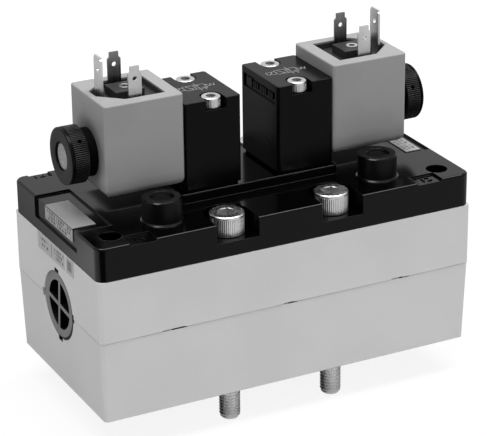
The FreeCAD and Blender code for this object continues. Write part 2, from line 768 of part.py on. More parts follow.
def make_piston(side):
    """Piston disc with a seal groove, on the spool's tail."""
    start = END_LAND_REACH
    groove = start + PISTON_LENGTH / 2 - PISTON_SEAL_WIDTH / 2
    inner = SPOOL_TAIL_RADIUS + SEAT_FIT
    deep = PISTON_RADIUS - PISTON_SEAL_DEPTH
    piston = turned_x([
        (start, inner),
        (start + PISTON_LENGTH, inner),
        (start + PISTON_LENGTH, PISTON_RADIUS),
        (groove + PISTON_SEAL_WIDTH, PISTON_RADIUS),
        (groove + PISTON_SEAL_WIDTH, deep),
        (groove, deep),
        (groove, PISTON_RADIUS),
        (start, PISTON_RADIUS),
    ], 0, PARTING_HEIGHT)
    if side < 0:
        piston = mirrored(piston)
    piston.translate(FreeCAD.Vector(spool_shift(), 0, 0))
    return piston


def make_piston_seals():
    """Seal rings of both pistons."""
    start = END_LAND_REACH + PISTON_LENGTH / 2 - PISTON_SEAL_WIDTH / 2
    seal = ring_x(
        PISTON_RADIUS, PISTON_RADIUS - PISTON_SEAL_DEPTH, start, start + PISTON_SEAL_WIDTH, PARTING_HEIGHT
    )
    seals = Part.makeCompound(both_ends(seal))
    seals.translate(FreeCAD.Vector(spool_shift(), 0, 0))
    return seals


def make_folded_plate():
    """Thin plate folded over an end of the cover, drawn at the right one."""
    front, back = FOLDED_PLATE_SPAN
    top = COVER_TOP - PLATE_RECESS_DEPTH
    end = HALF_LENGTH - PLATE_RECESS_DEPTH
    profile = [
        FreeCAD.Vector(end, 0, top - PLATE_END_HEIGHT),
        FreeCAD.Vector(end, 0, top),
        FreeCAD.Vector(end - PLATE_TOP_LENGTH, 0, top),
        FreeCAD.Vector(end - PLATE_TOP_LENGTH, 0, top + PLATE_THICKNESS),
        FreeCAD.Vector(end + PLATE_THICKNESS, 0, top + PLATE_THICKNESS),
        FreeCAD.Vector(end + PLATE_THICKNESS, 0, top - PLATE_END_HEIGHT),
    ]
    face = Part.Face(Part.makePolygon(profile + [profile[0]]))
    face.translate(FreeCAD.Vector(0, front, 0))
    plate = face.extrude(FreeCAD.Vector(0, back - front, 0))
    bend_x = end + PLATE_THICKNESS
    return round_edges(
        plate, PLATE_BEND,
        lambda edge: lies_at(edge, top + PLATE_THICKNESS) and abs(edge.BoundBox.XMin - bend_x) < 0.01,
    )


def make_flat_plate():
    """Thin flat plate on the floor of the right recess."""
    front, back = FLAT_PLATE_SPAN
    end = HALF_LENGTH - FLAT_PLATE_INSET
    floor = COVER_TOP - PLATE_RECESS_DEPTH
    return box(end - FLAT_PLATE_LENGTH, end, front, back, floor, floor + PLATE_THICKNESS)


def make_end_label():
    """Thin label on the left end of the body, just under the cover."""
    top = BODY_HEIGHT - LABEL_DROP
    return box(
        -HALF_LENGTH - LABEL_THICKNESS, -HALF_LENGTH,
        -LABEL_WIDTH / 2, LABEL_WIDTH / 2, top - LABEL_HEIGHT, top,
    )


def make_override():
    """Right override button: head, trapped collar and stem."""
    collar = BUTTON_RADIUS + BUTTON_COLLAR
    lip = BUTTON_LIP - BUTTON_FIT
    return turned_z([
        (0, BODY_HEIGHT - STEM_LENGTH + 2 * BUTTON_STROKE),
        (STEM_RADIUS, BODY_HEIGHT - STEM_LENGTH + 2 * BUTTON_STROKE),
        (STEM_RADIUS, BUTTON_FOOT),
        (collar, BUTTON_FOOT),
        (collar, lip),
        (BUTTON_RADIUS, lip),
        (BUTTON_RADIUS, BUTTON_TOP - BUTTON_CHAMFER),
        (BUTTON_RADIUS - BUTTON_CHAMFER, BUTTON_TOP),
        (0, BUTTON_TOP),
    ], OVERRIDE_X, OVERRIDE_Y)


def coil_spring(radius, wire, turns, length):
    """Wire spring along Z that fills the room from 0 to its length, in short straight runs."""
    rise = length - wire - 2 * SPRING_PLAY
    steps = round(turns * SPRING_RUNS)
    sections = []
    for step in range(steps + 1):
        around = math.tau * step / SPRING_RUNS
        height = wire / 2 + SPRING_PLAY + rise * step / steps
        points = []
        for side in range(SPRING_SIDES + 1):
            angle = math.tau * side / SPRING_SIDES
            reach = radius + wire / 2 * math.cos(angle)
            points.append(FreeCAD.Vector(
                reach * math.cos(around), reach * math.sin(around), height + wire / 2 * math.sin(angle)
            ))
        sections.append(Part.makePolygon(points))
    return Part.makeLoft(sections, True, True)


def make_override_spring():
    """Spring under the right override button."""
    radius = OVERRIDE_BORE - BUTTON_FIT - SPRING_WIRE
    spring = coil_spring(radius, SPRING_WIRE, SPRING_TURNS, BUTTON_FOOT - BODY_HEIGHT)
    spring.translate(FreeCAD.Vector(OVERRIDE_X, OVERRIDE_Y, BODY_HEIGHT))
    return spring


def pilot_notch(y_side):
    """Open notch over a pilot screw."""
    y = y_side * PILOT_SCREW_PITCH / 2
    radius = PILOT_HEAD_RADIUS + PILOT_NOTCH_PLAY
    edge = y_side * (PILOT_WIDTH / 2 + OVERCUT)
    notch = post(radius, PILOT_SCREW_SEAT, PILOT_TOP + OVERCUT, PILOT_SCREW_AT, y)
    return notch.fuse(box(
        PILOT_SCREW_AT - radius, PILOT_SCREW_AT + radius, min(y, edge), max(y, edge),
        PILOT_SCREW_SEAT, PILOT_TOP + OVERCUT,
    ))


def make_pilot():
    """Right pilot block."""
    half = PILOT_WIDTH / 2
    block = rounded_block(
        PILOT_INNER, PILOT_OUTER, -half, half, PILOT_BOTTOM, PILOT_TOP, PILOT_ROUND, PILOT_TOP_ROUND
    )
    for side in (-1, 1):
        block = block.cut(pilot_notch(side))
        block = block.cut(post(
            PILOT_SCREW_RADIUS + PILOT_HOLE_PLAY, PILOT_BOTTOM - OVERCUT, PILOT_TOP, PILOT_SCREW_AT,
            side * PILOT_SCREW_PITCH / 2,
        ))
    block = block.cut(rod(TUBE_FLANGE_RADIUS + SEAT_FIT, TUBE_INNER, PILOT_OUTER + OVERCUT, 0, AXIS_HEIGHT))
    room = turned_x([
        (TUBE_INNER - VALVE_ROOM_DEPTH, NOZZLE_RADIUS),
        (ARMATURE_INNER - ARMATURE_START, NOZZLE_RADIUS / 2),
        (ARMATURE_INNER - ARMATURE_START, 0),
        (PILOT_OUTER, 0),
        (PILOT_OUTER, TUBE_BORE),
        (TUBE_INNER - VALVE_ROOM_DEPTH, TUBE_BORE),
    ], 0, AXIS_HEIGHT)
    block = block.cut(room)
    width, height, drop, depth = PILOT_WINDOW
    block = block.cut(box(
        PILOT_INNER - OVERCUT, PILOT_INNER + depth, -width / 2, width / 2,
        PILOT_TOP - drop - height, PILOT_TOP - drop,
    ))
    return block.removeSplitter()


def make_pilot_gaskets():
    """Flat gaskets between the pilot blocks and the pad."""
    half = PILOT_WIDTH / 2 - PILOT_GASKET_MARGIN
    gasket = rounded_block(
        PILOT_INNER + PILOT_GASKET_MARGIN, PILOT_OUTER - PILOT_GASKET_MARGIN, -half, half,
        PAD_TOP, PILOT_BOTTOM, PILOT_ROUND,
    )
    for side in (-1, 1):
        gasket = gasket.cut(post(
            PILOT_SCREW_RADIUS + PILOT_HOLE_PLAY, PAD_TOP - OVERCUT, PILOT_BOTTOM + OVERCUT, PILOT_SCREW_AT,
            side * PILOT_SCREW_PITCH / 2,
        ))
    return Part.makeCompound(both_ends(gasket))


def make_tube():
    """Flanged guide tube through the right coil."""
    return turned_x([
        (TUBE_INNER, TUBE_BORE),
        (TUBE_OUTER, TUBE_BORE),
        (TUBE_OUTER, TUBE_RADIUS),
        (PILOT_OUTER, TUBE_RADIUS),
        (PILOT_OUTER, TUBE_FLANGE_RADIUS),
        (TUBE_INNER, TUBE_FLANGE_RADIUS),
    ], 0, AXIS_HEIGHT)


def make_core():
    """Fixed core in the outer end of the tube, with its vent."""
    return ring_x(TUBE_BORE - SEAT_FIT, CORE_VENT, CORE_INNER, TUBE_OUTER, AXIS_HEIGHT)


def make_armature():
    """Armature with its spring pocket towards the core."""
    pocket = ARMATURE_SPRING_RADIUS + ARMATURE_WIRE / 2 + ARMATURE_FIT
    body = TUBE_BORE - ARMATURE_FIT
    floor = ARMATURE_OUTER - ARMATURE_SPRING_DEPTH
    return turned_x([
        (ARMATURE_INNER, 0),
        (floor, 0),
        (floor, pocket),
        (ARMATURE_OUTER, pocket),
        (ARMATURE_OUTER, body),
        (ARMATURE_INNER + ARMATURE_CHAMFER, body),
        (ARMATURE_INNER, body - ARMATURE_CHAMFER),
    ], 0, AXIS_HEIGHT)


def make_armature_spring():
    """Spring between armature and core."""
    floor = ARMATURE_OUTER - ARMATURE_SPRING_DEPTH
    spring = coil_spring(ARMATURE_SPRING_RADIUS, ARMATURE_WIRE, SPRING_TURNS, CORE_INNER - floor)
    spring.rotate(ORIGIN, Y_AXIS, 90)
    spring.translate(FreeCAD.Vector(floor, 0, AXIS_HEIGHT))
    return spring


def window_outline(play, z0, z1):
    """Connector window: a rectangle that narrows towards the outer end."""
    start = PILOT_OUTER + WINDOW_START + play
    corner = PILOT_OUTER + WINDOW_CORNER
    end = PILOT_OUTER + WINDOW_END - play
    wide = WINDOW_HALF_WIDTH - play
    nose = WINDOW_NOSE
    points = [
        (start, -wide), (corner, -wide), (end, -nose), (end, nose), (corner, wide), (start, wide),
        (start, -wide),
    ]
    outline = Part.makePolygon([FreeCAD.Vector(x, y, z0) for x, y in points])
    return Part.Face(outline).extrude(FreeCAD.Vector(0, 0, z1 - z0))


def make_coil():
    """Right coil with its tube bore and connector window."""
    half = COIL_WIDTH / 2
    block = round_edges(
        box(PILOT_OUTER, COIL_OUTER, -half, half, COIL_BOTTOM, COIL_TOP), COIL_FOOT_ROUND,
        lambda edge: lies_at(edge, COIL_BOTTOM),
    )
    block = round_edges(block, COIL_ROUND, is_upright)
    block = round_edges(block, COIL_TOP_ROUND, lambda edge: lies_at(edge, COIL_TOP))
    bore = rod(TUBE_RADIUS + COIL_BORE_PLAY, PILOT_OUTER - OVERCUT, COIL_OUTER + OVERCUT, 0, AXIS_HEIGHT)
    block = block.cut(bore)
    return block.cut(window_outline(0.0, BASE_FLOOR, COIL_TOP + OVERCUT))


def tab(width, tip, thickness, length, shoulder, hole_drop):
    """Flat terminal with a narrower tip and a hole, broad in X, standing at the origin."""
    neck = length - shoulder * SHOULDER_SLOPE
    points = [
        (-width / 2, 0), (width / 2, 0), (width / 2, length - shoulder), (tip / 2, neck),
        (tip / 2, length), (-tip / 2, length), (-tip / 2, neck),
        (-width / 2, length - shoulder), (-width / 2, 0),
    ]
    outline = Part.makePolygon([FreeCAD.Vector(x, -thickness / 2, z) for x, z in points])
    blade = Part.Face(outline).extrude(FreeCAD.Vector(0, thickness, 0))
    hole = Part.makeCylinder(
        TAB_HOLE_RADIUS, thickness + 2, FreeCAD.Vector(0, -thickness / 2 - 1, length - hole_drop), Y_AXIS
    )
    return blade.cut(hole)


def terminal_places():
    """Middle of each terminal, with its width and whether it stands across."""
    earth = CONNECTOR_X + EARTH_OFFSET
    return [
        (CONNECTOR_X, -TAB_PITCH / 2, TAB_WIDTH, False),
        (CONNECTOR_X, TAB_PITCH / 2, TAB_WIDTH, False),
        (earth, 0.0, EARTH_WIDTH, True),
    ]


def make_terminals():
    """Two power tabs and the earth tab of the right coil."""
    tabs = []
    for x, y, width, across in terminal_places():
        if across:
            piece = tab(width, EARTH_TIP_WIDTH, TAB_THICKNESS, EARTH_LENGTH, EARTH_SHOULDER, TAB_HOLE_DROP)
            piece.rotate(ORIGIN, Z_AXIS, 90)
        else:
            piece = tab(width, TAB_TIP_WIDTH, TAB_THICKNESS, TAB_LENGTH, TAB_SHOULDER, TAB_HOLE_DROP)
        piece.translate(FreeCAD.Vector(x, y, BASE_FLOOR))
        tabs.append(piece)
    return Part.makeCompound(tabs)


def make_connector_base():
    """Right connector base with its centre block and terminal slots."""
    base = window_outline(BASE_PLAY, BASE_FLOOR, BASE_TOP)
    base = base.fuse(box(
        CONNECTOR_X - BLOCK_LENGTH / 2, CONNECTOR_X + BLOCK_LENGTH / 2,
        -BLOCK_WIDTH / 2, BLOCK_WIDTH / 2, BASE_FLOOR, BLOCK_TOP,
    ))
    for x, y, width, across in terminal_places():
        half_x = (TAB_THICKNESS if across else width) / 2 + TAB_PLAY
        half_y = (width if across else TAB_THICKNESS) / 2 + TAB_PLAY
        base = base.cut(box(
            x - half_x, x + half_x, y - half_y, y + half_y, BASE_FLOOR - OVERCUT, BLOCK_TOP + OVERCUT
        ))
    insert_foot = BLOCK_TOP + INSERT_STAND - INSERT_LENGTH
    base = base.cut(post(INSERT_RADIUS + SEAT_FIT, insert_foot, BLOCK_TOP + OVERCUT, CONNECTOR_X))
    return base.removeSplitter()


def make_insert():
    """Threaded insert in the centre block."""
    top = BLOCK_TOP + INSERT_STAND
    foot = top - INSERT_LENGTH
    bore = post(INSERT_BORE, foot + INSERT_FLOOR, top + OVERCUT, CONNECTOR_X)
    return post(INSERT_RADIUS, foot, top, CONNECTOR_X).cut(bore)


def make_collar():
    """Seal collar between coil and nut."""
    return ring_x(COLLAR_RADIUS, TUBE_RADIUS + SEAT_FIT, COIL_OUTER, COLLAR_OUTER, AXIS_HEIGHT)


def make_nut():
    """Right ring nut with its rounded rim, groove and filter seat."""
    groove = NUT_OUTER - NUT_GROOVE_SETBACK
    low = NUT_RADIUS - NUT_GROOVE_DEPTH
    seat = NUT_OUTER - FILTER_SINK - FILTER_THICKNESS
    return turned_x([
        (COLLAR_OUTER, TUBE_RADIUS + SEAT_FIT),
        (TUBE_OUTER, TUBE_RADIUS + SEAT_FIT),
        (TUBE_OUTER, NUT_VENT),
        (seat, NUT_VENT),
        (seat, FILTER_RADIUS + SEAT_FIT),
        (NUT_OUTER, FILTER_RADIUS + SEAT_FIT),
        (NUT_OUTER, NUT_RADIUS - NUT_RIM_ROUND),
        (NUT_OUTER - NUT_RIM_BEVEL, NUT_RADIUS - NUT_RIM_BEVEL),
        (NUT_OUTER - NUT_RIM_ROUND, NUT_RADIUS),
        (groove, NUT_RADIUS),
        (groove, low),
        (groove - NUT_GROOVE_WIDTH, low),
        (groove - NUT_GROOVE_WIDTH, NUT_RADIUS),
        (COLLAR_OUTER + NUT_CHAMFER, NUT_RADIUS),
        (COLLAR_OUTER, NUT_RADIUS - NUT_CHAMFER),
    ], 0, AXIS_HEIGHT)


def make_filter():
    """Porous disc in the nut's mouth."""
    start = NUT_OUTER - FILTER_SINK - FILTER_THICKNESS
    return rod(FILTER_RADIUS, start, start + FILTER_THICKNESS, 0, AXIS_HEIGHT)


def save(node, shape):
    """Write one node and refuse a shape that isn't whole."""
    if not shape.isValid() or not shape.Solids or any(solid.Volume <= 0 for solid in shape.Solids):
        raise RuntimeError(node + " is not a valid solid")
    shape.exportStep("parts/" + node + ".step")


def save_pair(name, shape):
    """Write the right-hand piece and its mirror image."""
    save(name + "_right", shape)
    save(name + "_left", mirrored(shape))


save("main_body", make_body())
save("top_cover", make_cover())
save("cover_gasket", make_cover_gasket())
save("base_gasket", make_base_gasket())
save("mounting_screws", make_mounting_screws())
save_pair("end_plug", make_plug())
save("plug_seals", make_plug_seals())
save("spool_sleeve", make_sleeve())
save("sleeve_seals", make_sleeve_seals())
save("main_spool", make_spool())
save("piston_right", make_piston(1))
save("piston_left", make_piston(-1))
save("piston_seals", make_piston_seals())
save("nameplate_right", make_flat_plate())
save("nameplate_left", mirrored(make_folded_plate()))
save("end_label", make_end_label())
save_pair("override", make_override())
save_pair("override_spring", make_override_spring())
save_pair("pilot_body", make_pilot())
save("pilot_gaskets", make_pilot_gaskets())
save("pilot_screws", make_pilot_screws())
save_pair("armature_tube", make_tube())
save_pair("fixed_core", make_core())
save_pair("armature", make_armature())
save_pair("armature_spring", make_armature_spring())
save_pair("coil", make_coil())
save_pair("connector_base", make_connector_base())
save_pair("connector_insert", make_insert())
save_pair("terminals", make_terminals())
save_pair("nut_seal", make_collar())
save_pair("ring_nut", make_nut())
save_pair("filter", make_filter())
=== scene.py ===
import math

import bmesh
import bpy
from mathutils import Matrix, Vector


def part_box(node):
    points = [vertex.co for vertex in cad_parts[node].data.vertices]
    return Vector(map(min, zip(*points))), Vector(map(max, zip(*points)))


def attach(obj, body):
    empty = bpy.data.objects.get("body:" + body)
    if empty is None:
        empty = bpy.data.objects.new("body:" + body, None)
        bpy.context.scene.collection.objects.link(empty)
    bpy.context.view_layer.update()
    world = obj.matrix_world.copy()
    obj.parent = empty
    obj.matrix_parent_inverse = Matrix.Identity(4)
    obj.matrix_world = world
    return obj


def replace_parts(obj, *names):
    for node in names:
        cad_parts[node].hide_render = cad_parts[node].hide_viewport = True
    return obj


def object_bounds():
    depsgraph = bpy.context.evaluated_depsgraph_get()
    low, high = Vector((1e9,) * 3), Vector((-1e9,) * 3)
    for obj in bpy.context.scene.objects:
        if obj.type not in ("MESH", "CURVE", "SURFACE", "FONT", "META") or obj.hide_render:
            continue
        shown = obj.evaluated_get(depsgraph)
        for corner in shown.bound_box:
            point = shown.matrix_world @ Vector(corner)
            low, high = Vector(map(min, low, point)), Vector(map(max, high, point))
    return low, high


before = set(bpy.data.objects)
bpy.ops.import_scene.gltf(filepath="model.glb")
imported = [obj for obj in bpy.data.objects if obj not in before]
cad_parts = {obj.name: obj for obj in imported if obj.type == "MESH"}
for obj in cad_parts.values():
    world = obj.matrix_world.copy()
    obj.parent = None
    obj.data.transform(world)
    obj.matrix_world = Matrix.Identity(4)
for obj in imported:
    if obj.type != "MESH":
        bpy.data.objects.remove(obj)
cad_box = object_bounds()
MM = 0.001


def mm(*values):
    """Millimetres in metres."""
    return tuple(value * MM for value in values)


# Camera, fitted to the photograph: angles in degrees, lengths in metres, image places in pixels
VIEW_YAW = 26.59
VIEW_PITCH = 22.75
VIEW_ROLL = -0.77
VIEW_RANGE = 0.870
VIEW_AIM = Vector((0.0, 0.0, 0.060))
VIEW_SLIDE = (-0.0025, -0.0063)
FOCAL_PIXELS = 2306.0
PHOTO_SIZE = (487.0, 436.0)
OPTICAL_CENTRE = (235.7, 212.4)
SENSOR = 36.0

# Studio: the lamp, the surround, and what the camera and mirrors see of floor and surround
KEY_WAY = Vector((0.02, -0.08, 0.99))
KEY_RANGE = 1.7
KEY_SIZE = (2.3, 0.8)
KEY_POWER = 53.0
SKY_LIGHT = (0.70, 0.24)
LEFT_SKY = 0.50
FLOOR_TONE = 0.70
FLOOR_WHITE = 0.86
FLOOR_GLOW = (1.03, 1.17)
FRONT_MIRROR = 0.65
BACK_FLOOR_MIRROR = 0.22
SIDE_FLOOR_MIRROR = (1.20, 0.36)
CORNER_FLOOR_MIRROR = 0.08

# Where those strengths change: places on the floor in metres, and parts of a direction in the surround
FLOOR_REACH = 3.0
FLOOR_CORNER_X = (-0.120, -0.070)
FLOOR_BACK_Y = (-0.05, 0.12)
FLOOR_SIDE_X = (-0.16, -0.11)
FLOOR_SIDE_Y = (-0.13, -0.07)
FLOOR_SIDE_TURN_Y = (0.11, 0.17)
FLOOR_GLOW_Y = (0.20, 0.50)
SKY_MIRROR_Y = (-0.3, 0.5)
SKY_LIGHT_Y = (-0.4, 0.4)
SKY_LEFT_X = (-0.9, 0.0)

# How far a cutter stands out of what it cuts
OVERCUT = 1.0 * MM

# Ring nuts and the filters in them; a hole angle is in degrees, above the way to the front
NUT_RIDGES = 88
NUT_RIDGE_HEIGHT = 0.35 * MM
NUT_RIDGE_WIDTH = 0.46 * MM
NUT_RIM = 0.8 * MM
NUT_RIM_CHAMFER = 0.1 * MM
NUT_ROUND = 0.5 * MM
NUT_GROOVE = 0.45 * MM
NUT_CHAMFER = 0.5 * MM
NUT_BORE = 6.55 * MM
NUT_MOUTH_PLAY = 0.04 * MM
NUT_MOUTH_ROUND = 0.3 * MM
NUT_FILTER_SEAT = 1.0 * MM
NUT_FLOOR = 1.2 * MM
NUT_HOLE_RADIUS = 0.75 * MM
NUT_HOLE_DEPTH = 2.2 * MM
NUT_HOLE_PLACE = 0.46
NUT_HOLE_ANGLES = {"left": 44.7, "right": 28.1}
# Black of the nuts, and the painted highlight on their knurl's crests, which is strongest above the nut's
# middle
NUT_TONES = (0.0008, 0.05)
NUT_KNURL_END = mm(-0.4, -0.3)
NUT_CREST = mm(-0.16, -0.04)
NUT_HIGHLIGHT_Z = mm(-4.0, 4.0)
# Painted shadow on the filters' rims, set off to one side
FILTER_SHADOW = 0.5 * MM
FILTER_LIT = mm(4.8, 5.0)

# Socket head screws: painted shade darkens the inside of a socket, and oxide dulls it
MOUNTING_SCREW = {
    "radius": 6.5 * MM, "height": 8.0 * MM, "round": 0.75 * MM, "socket": 6.0 * MM, "depth": 4.0 * MM,
    "shank": 3.9 * MM, "ridges": 56, "ridge": 0.16 * MM, "thread": 17.0 * MM,
    "shade": 0.50, "oxide": 0.25,
}
PILOT_SCREW = {
    "radius": 3.6 * MM, "height": 4.0 * MM, "round": 0.45 * MM, "socket": 3.0 * MM, "depth": 2.0 * MM,
    "shank": 1.95 * MM, "ridges": 40, "ridge": 0.09 * MM, "thread": 0.0,
    "shade": 0.74, "oxide": 0.85,
}
CAP_SCREWS = (("mounting_screws", MOUNTING_SCREW), ("pilot_screws", PILOT_SCREW))
HEAD_CHAMFER = 0.3 * MM
HEAD_COLLAR = 0.25 * MM
HEAD_RIDGE_MARGIN = 0.5 * MM

# Shares of a socket's width: its mouth's radius and chamfer, the drill point under it, the fade at its wall
SOCKET_MOUTH = 0.53
SOCKET_CHAMFER = 0.04
SOCKET_DRILL_POINT = 0.168
SOCKET_FADE = (0.58, 0.62)

# Thread of the mounting screws, whose first turns are cut to a share of the depth and taper towards the tip
THREAD_RADIUS = 4.0 * MM
THREAD_PITCH = 1.25 * MM
THREAD_DEPTH = 0.62 * MM
THREAD_STEPS = 40
THREAD_ROWS = 8
THREAD_FLAT = 0.12
THREAD_FIRST_TURNS = 1.4
THREAD_FIRST_DEPTH = 0.2
THREAD_TIP_TAPER = 1.3

# Painted shade of the cap screws; a turn gives how far faces look the bright way, from -1 to 1
SCREW_BRIGHT_WAY = (0.89, -0.45)
SCREW_TOP_SHADE = 0.30
SCREW_TOP_Z = mm(-0.20, -0.04)
SCREW_RIM = mm(0.0, 0.4)
THREAD_SHADE = 0.26
THREAD_TURN = (-1.0, 0.1)
THREAD_FAR_SHADE = 0.75
THREAD_FAR_TURN = (0.3, 1.0)
THREAD_RISE_SHADE = (0.75, 1.05)
THREAD_RISE_TOP = -1.0 * MM
THREAD_TOP_Z = mm(-0.6, 0.0)
HEAD_SHADE = 0.22
HEAD_TURN = (-0.95, -0.1)
HEAD_UPRIGHT = (0.2, 0.6)

# End plugs: fades by distance from the plug's axis, which paint shade round the plugs, in their pockets and
# beside their ribs, and painted shade in the notches for their lugs in the body's ends
PLUG_TURN = 5.6
PLUG_TONES = (0.0005, 0.18)
PLUG_SHADOW = 0.5 * MM
PLUG_GAP = mm(13.15, 13.35)
PLUG_EDGE = mm(12.45, 12.65)
PLUG_RIB = mm(0.70, 0.85)
PLUG_CAVITY = mm(9.2, 9.3)
PLUG_FACE_X = mm(-0.20, -0.06)
PLUG_NOTCH = mm(13.15, 15.5)
PLUG_NOTCH_Y = mm(9.0, 11.0)
PLUG_REAR_NOTCH = 0.1
PLUG_END = 8.0 * MM

# Casting: its parting line, with slits as (middle, half length) along X
CASTING_TONES = (0.53, 0.56)
CASTING_SPECK = 0.61
PARTING_SHARE = 31.6 / 55.5
PARTING_TONE = 0.12
PARTING_LINE = 0.16 * MM
PARTING_END_Y = mm(4.0, 14.0)
PARTING_END = (0.1, 0.45)
PARTING_SLITS = (mm(-45.6, 3.3), mm(0.6, 2.2), mm(48.0, 2.4))
SLIT_TONE = 0.01
SLIT_LINE = 0.25 * MM
SLIT_FADE = 0.6 * MM
SLIT_SIDE = 0.9

# Coils and their connector windows, with painted shade at the coils' foot, round the nut and on the window
# walls
COIL_SHADOW = 8.0 * MM
COIL_FOOT_SHADE = 0.68
COIL_END_X = mm(-4.5, -4.2)
NUT_SHADE = 0.5
NUT_SHADE_REACH = mm(9.0, 15.5)
CONNECTOR_WALL_SHADE = 0.88
CONNECTOR_WALL_X = 0.5 * MM
CONNECTOR_WALL_Y = mm(0.3, 0.5)
CONNECTOR_WALL_Z = mm(0.1, 0.7)
# Painted shade on the terminals towards their foot and on the rear ones, and a little painted light at their
# tips
TAB_SHADE = (0.7, 1.1)
REAR_TAB_SHADE = 0.35
REAR_TAB_Y = mm(3.0, 6.0)

# Cover: dull sides of the override bosses, and dull patches under the coils, each given by how far it stays
# inside the coil's two edges and by its softness
BOSS_DULL = 0.25
BOSS_REACH = mm(7.4, 7.7)
BOSS_TOP_Z = mm(-1.0, -0.6)
UNDER_COIL_DULL = 0.65
UNDER_COIL_X = mm(1.0, 4.0, 3.5)
UNDER_COIL_Y = mm(7.0, 2.0, 1.5)

# Digits in the cover's pockets: place, size and number
DIGIT_HEIGHT = 0.4 * MM
POCKET_FLOOR = 67.6 * MM
POCKET_MARKS = (
    (*mm(-58.75, -35.6, 4.6), "14"), (*mm(58.75, -35.6, 4.6), "12"),
    (*mm(-67.0, 36.3, 5.4), "14"), (*mm(67.0, 36.3, 5.4), "12"),
)

# Symbol of a solenoid valve, as lines of points in millimetres from its middle
PRINT_HEIGHT = 0.03 * MM
PRINT_LINE = 0.25 * MM
SYMBOL_MIDDLE = 19.0 * MM
SYMBOL_LINES = (
    ((-4.4, -2.2), (4.4, -2.2), (4.4, 2.2), (-4.4, 2.2), (-4.4, -2.2)), ((0, -2.2), (0, 2.2)),
    ((-4.4, -1.4), (-8.2, -1.4), (-8.2, 1.4), (-4.4, 1.4)), ((-7.4, -1.4), (-5.4, 1.4)),
    ((4.4, 0), (5.0, 1.2), (5.8, -1.2), (6.6, 1.2), (7.4, -1.2), (8.2, 1.0)),
    ((1.2, -2.2), (1.2, 1.9)), ((0.6, 0.9), (1.2, 1.9), (1.8, 0.9)), ((3.2, -2.2), (3.2, -1.2)),
    ((2.6, -1.2), (3.8, -1.2)), ((-3.2, 2.2), (-1.2, -1.9)), ((-1.9, -1.2), (-1.2, -1.9), (-1.1, -0.9)),
    ((1.2, -2.2), (1.2, -4.0)), ((3.2, -2.2), (3.2, -4.0)), ((1.2, 2.2), (1.2, 4.0)),
)

# Blocks in the pilot blocks' windows: start, end and height in millimetres
WINDOW_MIDDLE = 101.65 * MM
WINDOW_DEPTH = 0.7 * MM
WINDOW_RELIEF = 0.5 * MM
WINDOW_BLOCKS = (
    (6.4, 10.8, 3.4), (4.4, 5.3, 2.5), (2.9, 3.8, 2.5), (1.4, 2.3, 2.5), (-0.9, 0.0, 2.5), (-2.3, -1.4, 2.5),
    (-3.7, -2.8, 2.5), (-5.1, -4.2, 2.5), (-7.4, -6.5, 2.5), (-8.8, -7.9, 2.5), (-10.2, -9.3, 2.5),
)

# Rows of printed bars, in spacings: width of a bar, step and length of a group of bars
BAR_WIDTH = 0.62
BAR_GROUP_STEP = 4.3
BAR_GROUP = 3.6

# Name plates: each row by its distance from the plate's front and rear end, its height and its spacing
PLATE_PRINT = 1.15 * MM
PLATE_PRINT_TONE = 0.02
PLATE_TONE = 0.55
FOLDED_PLATE_ROWS = (mm(1.2, 1.6, 3.3, 2.1), mm(1.2, 3.0, 1.9, 1.7), mm(1.2, 1.2, 0.5, 2.6))
FOLDED_PLATE_INK = 0.92
FOLDED_PLATE_LIGHT = 1.4
# Painted shade on the folded plate's top and, as a dark line, along its fold
FOLDED_TOP_SHADE = 0.4
FOLDED_TOP_Z = mm(-0.06, -0.03)
FOLD_Z = 0.30 * MM
FOLD_LINE = 0.25 * MM
FLAT_PLATE_ROWS = (mm(1.5, 2.0, 0.8, 2.4), mm(1.5, 4.0, 2.5, 1.9), mm(1.5, 3.0, 4.3, 2.8))
FLAT_PLATE_INK = 0.72
FLAT_PLATE_LIGHT = 1.9

# End label: each row by its two ends along Y, its height and its spacing
LABEL_TONES = (0.34, 0.39)
LABEL_INK = 0.95
LABEL_INK_TONE = 0.03
LABEL_PRINT = 1.1 * MM
LABEL_BAR = 3.4 * MM
LABEL_BAR_LINE = 0.30 * MM
LABEL_BAR_MARGINS = mm(1.0, 0.6)
LABEL_GAP = -9.4 * MM
LABEL_GAP_LINE = 0.6 * MM
LABEL_GAP_TONE = 0.55
LABEL_STAMP = mm(-15.0, -11.2)
LABEL_STAMP_MARGINS = mm(1.4, 1.0)
LABEL_STAMP_INK = 0.7
LABEL_ROWS = (
    mm(6.6, 13.6, 4.1, 1.9), mm(6.6, 12.6, 1.9, 2.3), mm(-7.8, 0.6, 4.4, 1.3), mm(-7.4, 0.6, 2.9, 1.6),
    mm(-7.8, 0.2, 1.3, 1.2),
)


class Signal:
    """A socket of a shader tree that takes part in Python sums."""

    def __init__(self, owner, socket):
        self.owner = owner
        self.socket = socket

    def maths(self, operation, *values):
        return self.owner.node("ShaderNodeMath", {"operation": operation}, dict(enumerate(values)))

    def __add__(self, other):
        return self.maths("ADD", self, other)

    __radd__ = __add__

    def __mul__(self, other):
        return self.maths("MULTIPLY", self, other)

    __rmul__ = __mul__

    def __sub__(self, other):
        return self.maths("SUBTRACT", self, other)

    def __rsub__(self, other):
        return self.maths("SUBTRACT", other, self)

    def __gt__(self, other):
        return self.maths("GREATER_THAN", self, other)

    def __lt__(self, other):
        return self.maths("LESS_THAN", self, other)

    def __abs__(self):
        return self.maths("ABSOLUTE", self)

    def __mod__(self, other):
        return self.maths("FLOORED_MODULO", self, other)


def tone(value):
    """A grey as a colour; signals pass through."""
    if isinstance(value, (int, float)):
        return (value, value, value, 1.0)
    return value


def offset(place, limits):
    """Two limits that are measured from a place."""
    return [place + limit for limit in limits]


